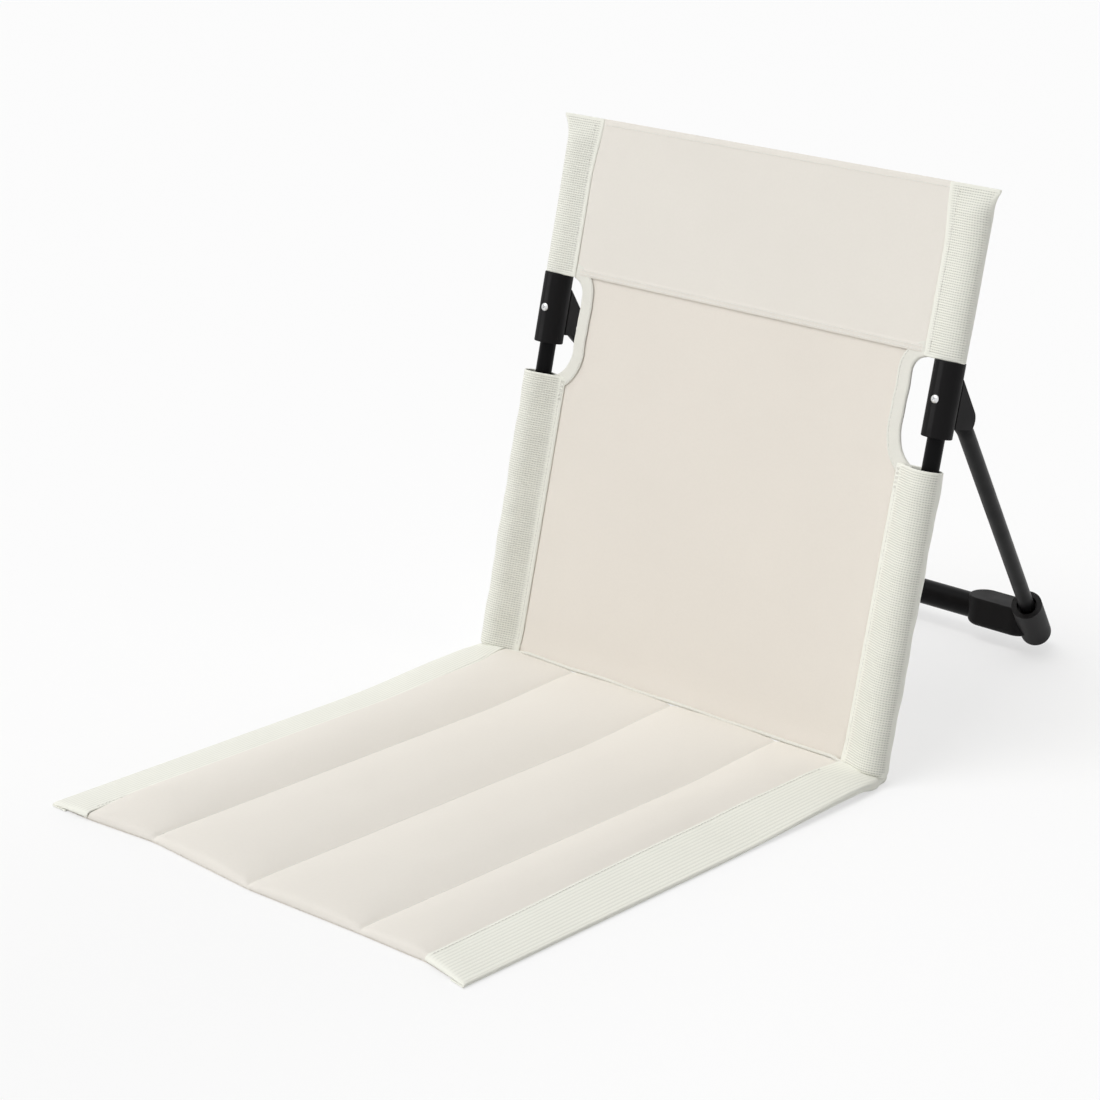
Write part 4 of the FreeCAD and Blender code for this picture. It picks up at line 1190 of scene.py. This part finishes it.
def seat_pad():
    """The padded quilted middle of the mat."""
    most_over = 0.0003
    full, faces, sewn = pad_mesh(1.0)
    start = pad_mesh(0.8)[0]
    uvs = full[:, :2].copy()
    piece = mesh_object("seat_pad", start, faces.tolist(), uvs)
    points = start
    points = swollen(piece, sewn)
    points[:, 2] = np.minimum(points[:, 2], full[:, 2] + most_over)
    points[:, :2] = full[:, :2]
    upper = np.arange(len(points)) < len(points) // 2
    points[upper, 2] += puckers(points[upper]) * ~sewn[upper]
    piece.data.vertices.foreach_set("co", points.astype(np.float32).ravel())
    piece.data.update()
    finer = piece.modifiers.new("finer", "SUBSURF")
    finer.levels = 1
    finer.render_levels = 1
    paint(piece, finish("seat_weave"))
    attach(piece, "seat")
    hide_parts("seat_top_cover", "seat_foam_strips")
    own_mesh(piece)


def seat_underside():
    """The cloth under the mat, which lies on the floor."""
    thick = 0.0008
    height = 0.0009
    low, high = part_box("seat_bottom_cover")
    x = np.linspace(low.x, high.x, 60)
    y = np.linspace(low.y + 0.002, high.y, 70)
    xs, ys = np.meshgrid(x, y)
    ys = ys + front_pull(xs) * (1 - smooth((ys - low.y) / 0.05))
    z = height + 0.00008 * np.sin(xs * 210) * np.sin(ys * 170)
    grid = np.stack([xs, ys, z], axis=-1)
    piece = sheet_object("seat_underside_cloth", grid, thick, plain_map(grid))
    paint(piece, finish("back_weave"))
    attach(piece, "seat")
    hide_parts("seat_bottom_cover")


FOOT_Y = 0.0008  # where the pocket round an upright's foot has its middle
FOOT_RADIUS = 0.0102  # radius of that pocket
POCKET_TOP = 0.0020  # height of a border's rear end
NOSE_TOP = 0.0013  # height of its front end
FOLD_WIDE = 0.8  # width of its outer fold, against half its height


def border_section(side, y):
    """The section of the folded webbing across the mat at one place: points (x, z) from its inner edge.

    Its rear end is a pocket round the foot of the upright's sleeve.
    """
    seat = bpy.context.scene.chair_seat
    behind = np.clip((y - FOOT_Y) / FOOT_RADIUS, 0, 1)
    tongue = FOOT_RADIUS * math.sqrt(max(1 - behind ** 2, 0.004))
    outer_turn = smooth((y + 0.013) / (0.013 + FOOT_Y))
    inner_turn = smooth((y + 0.0055) / (0.0055 + FOOT_Y))
    edge = inner_edge(side, y)
    outer = SEAT_HALF + (UPRIGHT_X + tongue - SEAT_HALF) * outer_turn
    inner = edge + (UPRIGHT_X - tongue - edge) * inner_turn
    front = float(nose(y - SEAT_FRONT))
    pocket = math.sqrt(max(1 - behind ** 3, 0.01))
    top = POCKET_TOP + (seat.border_top + border_lift(y) - POCKET_TOP) * pocket
    top = NOSE_TOP + (top - NOSE_TOP) * front
    low = seat.edge_lift * float(smooth((y + 0.20) / 0.15) * (1 - smooth((y + 0.030) / 0.018)))
    half = (top - low) / 2
    under = max(outer - seat.border_under, inner)
    turns = np.radians(np.linspace(90, -90, 13))
    wide = half * FOLD_WIDE
    round_x = outer - wide + wide * np.cos(turns)
    fold = np.stack([round_x, low + half + half * np.sin(turns)], axis=1)
    across = np.linspace(inner, outer - wide, 10)[:-1]
    share = (across - inner) / (outer - inner)
    swell = seat.border_swell * front * (1 - outer_turn) * np.cos(share * math.pi / 2)
    upper = np.stack([across, top + swell], axis=1)
    lower = np.stack([np.linspace(outer - wide, under, 5), np.linspace(low, 0, 5)], axis=1)[1:]
    return np.concatenate([upper, fold, lower])


def seat_border(name, side):
    """The ribbed webbing folded round one long edge of the mat."""
    seat = bpy.context.scene.chair_seat
    cloth = bpy.context.scene.chair_cloth
    width = SEAT_HALF - float(inner_edge(side, SEAT_FRONT)) + seat.border_top + seat.border_under
    columns = int(width / cloth.border_pitch) * RIB_STEPS + 1
    end = FOOT_Y + FOOT_RADIUS
    y = np.concatenate([
        SEAT_FRONT + np.array([0, 0.0004, 0.0012, 0.0025, 0.0045]),
        np.linspace(SEAT_FRONT + 0.008, -0.09, 60), np.linspace(-0.085, -0.016, 18),
        np.linspace(-0.014, FOOT_Y, 14), end - FOOT_RADIUS * (1 - np.sin(np.linspace(0.1, 1.57, 9)))])
    lines = [rounded_line(spaced(border_section(side, place), columns), 1) for place in y]
    grid = np.array([[(x, place, z) for x, z in line] for line, place in zip(lines, y)])
    drawn = 1 - smooth((grid[..., 1] - SEAT_FRONT) / 0.05)
    grid[..., 1] += front_pull(side * grid[..., 0]) * drawn
    # shown sets how deep the grooves are pressed and how strong the painted shade in them is; both are weaker on
    # the borders and fade where the webbing turns away from up
    shown = smooth((-0.006 - y) / 0.02) * smooth((y - SEAT_FRONT - 0.001) / 0.003)
    shown = FLAT_RIBS * shown[:, None] * smooth(grid_normals(grid)[..., 2] / 0.6)
    height = np.repeat(rib_height(columns)[None, :], len(y), axis=0)
    ribs = ribbed(grid, cloth.rib_depth, height, shown)
    v = np.linspace(0, cloth.rib_pitch * (columns - 1) / RIB_STEPS, columns)
    uvs = np.stack(np.meshgrid(v, y), axis=-1)[..., ::-1]
    if side < 0:
        uvs = uvs[:, ::-1]
        shown = shown[:, ::-1]
    piece = sheet_object(name + "_tape", flipped(ribs, side), cloth.webbing_thick, uvs, shown)
    paint(piece, finish("webbing"))
    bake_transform(piece)
    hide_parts(name)


def seat_stitching():
    """The seams between the channels and along the borders of the mat."""
    seat = bpy.context.scene.chair_seat
    border_inset = 0.0024
    down = (0, 0, -1)
    ys = np.linspace(SEAT_FRONT + 0.012, MAT_REAR - 0.002, 90)
    lines = []
    for x in (-seat.seam_x, 0, seat.seam_x):
        lines.append(lay_on(bpy.data.objects["seat_pad"], [(x, y, OVER_SEAT) for y in ys], down))
    border_ys = np.linspace(SEAT_FRONT + 0.012, -0.032, 90)
    for name, side in SIDES.items():
        starts = [(side * (float(inner_edge(side, y)) + border_inset), y, OVER_SEAT) for y in border_ys]
        lines.append(lay_on(bpy.data.objects[name + "_seat_webbing_tape"], starts, down))
    piece = stitching("seat_stitching", lines)
    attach(piece, "seat")


# Stage

SENSOR_WIDTH = 36
FLOOR_REACH = 30.0
FLOOR_DROP = 0.0004  # how far the floor lies below the chair
DARK_WAY = (0.95, -0.17, 0.26)  # the side from which less light comes


def towards(azimuth, elevation):
    """The direction at an angle to the right of the front and an angle above the floor."""
    return Vector((
        math.sin(azimuth) * math.cos(elevation),
        -math.cos(azimuth) * math.cos(elevation),
        math.sin(elevation)))


def camera_matrix(stage):
    """The camera's place and turn."""
    back = towards(stage.azimuth, stage.elevation)
    right = Vector((math.cos(stage.azimuth), math.sin(stage.azimuth), 0))
    up = back.cross(right)
    rolled_right = right * math.cos(stage.roll) + up * math.sin(stage.roll)
    rolled_up = up * math.cos(stage.roll) - right * math.sin(stage.roll)
    turn = Matrix((rolled_right, rolled_up, back)).transposed().to_4x4()
    return Matrix.Translation(Vector(stage.target) + back * stage.distance) @ turn


def make_camera(stage):
    """The camera at the photograph's viewing angle."""
    data = bpy.data.cameras.new("camera")
    data.lens = stage.lens
    data.sensor_width = SENSOR_WIDTH
    camera = bpy.data.objects.new("camera", data)
    camera.matrix_world = camera_matrix(stage)
    bpy.context.scene.collection.objects.link(camera)
    bpy.context.scene.camera = camera


def make_lamp(name, strength, spread, azimuth, elevation):
    """A distant soft lamp: its azimuth is to the right of the front, its elevation above the floor."""
    data = bpy.data.lights.new(name, "SUN")
    data.energy = strength
    data.angle = math.radians(spread)
    lamp = bpy.data.objects.new(name, data)
    back = towards(math.radians(azimuth), math.radians(elevation))
    lamp.rotation_mode = "QUATERNION"
    lamp.rotation_quaternion = back.to_track_quat("Z", "Y")
    bpy.context.scene.collection.objects.link(lamp)


def seen_directly(tree):
    """1 where the camera, a mirror or glass sees the surface, and 0 where it only gives light."""
    ray = add_node(tree, "LightPath").outputs
    mirrored = calculate(tree, "MAXIMUM", ray["Is Glossy Ray"], ray["Is Transmission Ray"])
    return calculate(tree, "MAXIMUM", ray["Is Camera Ray"], mirrored)


def make_floor(stage):
    """A plain pale floor, far wider than the picture."""
    material, tree, surface = new_material("pale_floor")
    mottle = noise(tree, object_place(tree), 3.0, 2.0)
    set_surface(tree, surface, {
        "Base Color": shades(tree, mottle, stage.floor_colour, 0.998, 1.002),
        "Roughness": 1.0,
        "Specular IOR Level": 0.0,
    })
    white = add_node(tree, "Emission", {"Color": (1, 1, 1, 1), "Strength": 1.0})
    share = calculate(tree, "MULTIPLY", seen_directly(tree), stage.floor_white)
    lit = add_node(tree, "MixShader", {0: share, 1: surface.outputs[0], 2: white.outputs[0]})
    tree.links.new(lit.outputs[0], tree.nodes["Material Output"].inputs["Surface"])
    corners = np.array([[-1, -1, 0], [1, -1, 0], [1, 1, 0], [-1, 1, 0]])
    floor = mesh_object("floor", corners * FLOOR_REACH, [[0, 1, 2, 3]])
    floor.location.z = -FLOOR_DROP
    paint(floor, material)


def make_sky(stage):
    """Even white light, less from the right; the camera and mirrors see plain white."""
    world = bpy.data.worlds.new("sky")
    world.use_nodes = True
    tree = world.node_tree
    shader = tree.nodes["Background"]
    shader.inputs["Color"].default_value = (1, 1, 1, 1)
    way = add_node(tree, "TexCoord").outputs["Generated"]
    right = add_node(tree, "VectorMath", {0: way, 1: DARK_WAY}, operation="DOT_PRODUCT")
    dark = stage.sky * stage.dark_side
    light = add_node(
        tree, "MapRange", {0: right.outputs["Value"], 1: 0.1, 2: 0.85, 3: stage.sky, 4: dark},
        interpolation_type="SMOOTHSTEP")
    strength = add_node(tree, "MapRange", {0: seen_directly(tree), 3: light.outputs[0], 4: 1.0})
    tree.links.new(strength.outputs[0], shader.inputs["Strength"])
    bpy.context.scene.world = world


# Operators

class ChairOperator:
    """What the chair's operators share."""
    bl_options = {"REGISTER", "UNDO"}

    def execute(self, context):
        self.make(context)
        return {"FINISHED"}


class CHAIR_OT_hard_parts(ChairOperator, bpy.types.Operator):
    """Finish the tubes, moulded parts, rivets and pins of the model"""
    bl_idname = "floor_chair.hard_parts"
    bl_label = "Hard parts"

    def make(self, context):
        finishes = {"black_tube": "tube", "black_plastic": "plastic", "rivet_steel": "steel"}
        for row in frame["record"]["subparts"]:
            if row["material_slot"] in finishes:
                paint(frame["nodes"][row["node"]], finish(finishes[row["material_slot"]]))


class CHAIR_OT_sleeves(ChairOperator, bpy.types.Operator):
    """Make the four sleeves of ribbed webbing on the uprights"""
    bl_idname = "floor_chair.sleeves"
    bl_label = "Sleeves"

    def make(self, context):
        for name, side in SIDES.items():
            lower_sleeve(name + "_lower_sleeve", side)
            upper_sleeve(name + "_upper_sleeve", side)


class CHAIR_OT_back_cloth(ChairOperator, bpy.types.Operator):
    """Make the back's panel, its headrest layer, the bound cut-outs and the piping"""
    bl_idname = "floor_chair.back_cloth"
    bl_label = "Back cloth"

    def make(self, context):
        back_panel()
        headrest()
        for name, side in SIDES.items():
            cutout_binding(f"{name}_cutout_binding", side)
        seam_piping()


class CHAIR_OT_back_stitching(ChairOperator, bpy.types.Operator):
    """Sew the seams of the back"""
    bl_idname = "floor_chair.back_stitching"
    bl_label = "Back stitching"

    def make(self, context):
        back_stitching()


class CHAIR_OT_seat_pad(ChairOperator, bpy.types.Operator):
    """Make the padded quilted mat and the cloth under it"""
    bl_idname = "floor_chair.seat_pad"
    bl_label = "Seat pad"

    def make(self, context):
        seat_pad()
        seat_underside()


class CHAIR_OT_seat_borders(ChairOperator, bpy.types.Operator):
    """Make the webbing borders of the mat"""
    bl_idname = "floor_chair.seat_borders"
    bl_label = "Seat borders"

    def make(self, context):
        for name, side in SIDES.items():
            seat_border(f"{name}_seat_webbing", side)


class CHAIR_OT_seat_stitching(ChairOperator, bpy.types.Operator):
    """Sew the seams of the mat"""
    bl_idname = "floor_chair.seat_stitching"
    bl_label = "Seat stitching"

    def make(self, context):
        seat_stitching()


class CHAIR_OT_stage(ChairOperator, bpy.types.Operator):
    """Set up the camera, the floor and the studio light"""
    bl_idname = "floor_chair.stage"
    bl_label = "Stage"

    def make(self, context):
        stage = context.scene.chair_stage
        make_camera(stage)
        make_floor(stage)
        make_sky(stage)
        make_lamp("key_lamp", stage.key, spread=40, azimuth=-18, elevation=60)
        make_lamp("rim_lamp", stage.rim, spread=30, azimuth=184, elevation=14)
        context.scene.view_settings.view_transform = "Standard"


OPERATORS = (
    CHAIR_OT_stage,
    CHAIR_OT_hard_parts,
    CHAIR_OT_sleeves,
    CHAIR_OT_back_cloth,
    CHAIR_OT_back_stitching,
    CHAIR_OT_seat_pad,
    CHAIR_OT_seat_borders,
    CHAIR_OT_seat_stitching,
)


class CHAIR_PT_panel(bpy.types.Panel):
    """The chair's pieces and settings"""
    bl_idname = "CHAIR_PT_panel"
    bl_label = "Floor chair"
    bl_space_type = "VIEW_3D"
    bl_region_type = "UI"
    bl_category = "Floor chair"

    def draw(self, context):
        for operator in OPERATORS:
            self.layout.operator(operator.bl_idname)
        for name, kind in SETTINGS.items():
            box = self.layout.box()
            box.label(text=kind.__doc__)
            for setting in kind.__annotations__:
                box.prop(getattr(context.scene, name), setting)


def register():
    for name, kind in SETTINGS.items():
        bpy.utils.register_class(kind)
        setattr(bpy.types.Scene, name, PointerProperty(type=kind))
    for operator in OPERATORS:
        bpy.utils.register_class(operator)
    bpy.utils.register_class(CHAIR_PT_panel)


def unregister():
    bpy.utils.unregister_class(CHAIR_PT_panel)
    for operator in reversed(OPERATORS):
        bpy.utils.unregister_class(operator)
    for name, kind in SETTINGS.items():
        delattr(bpy.types.Scene, name)
        bpy.utils.unregister_class(kind)


def main():
    register()
    for operator in OPERATORS:
        group, name = operator.bl_idname.split(".")
        getattr(getattr(bpy.ops, group), name)()


if __name__ == "__main__":
    main()
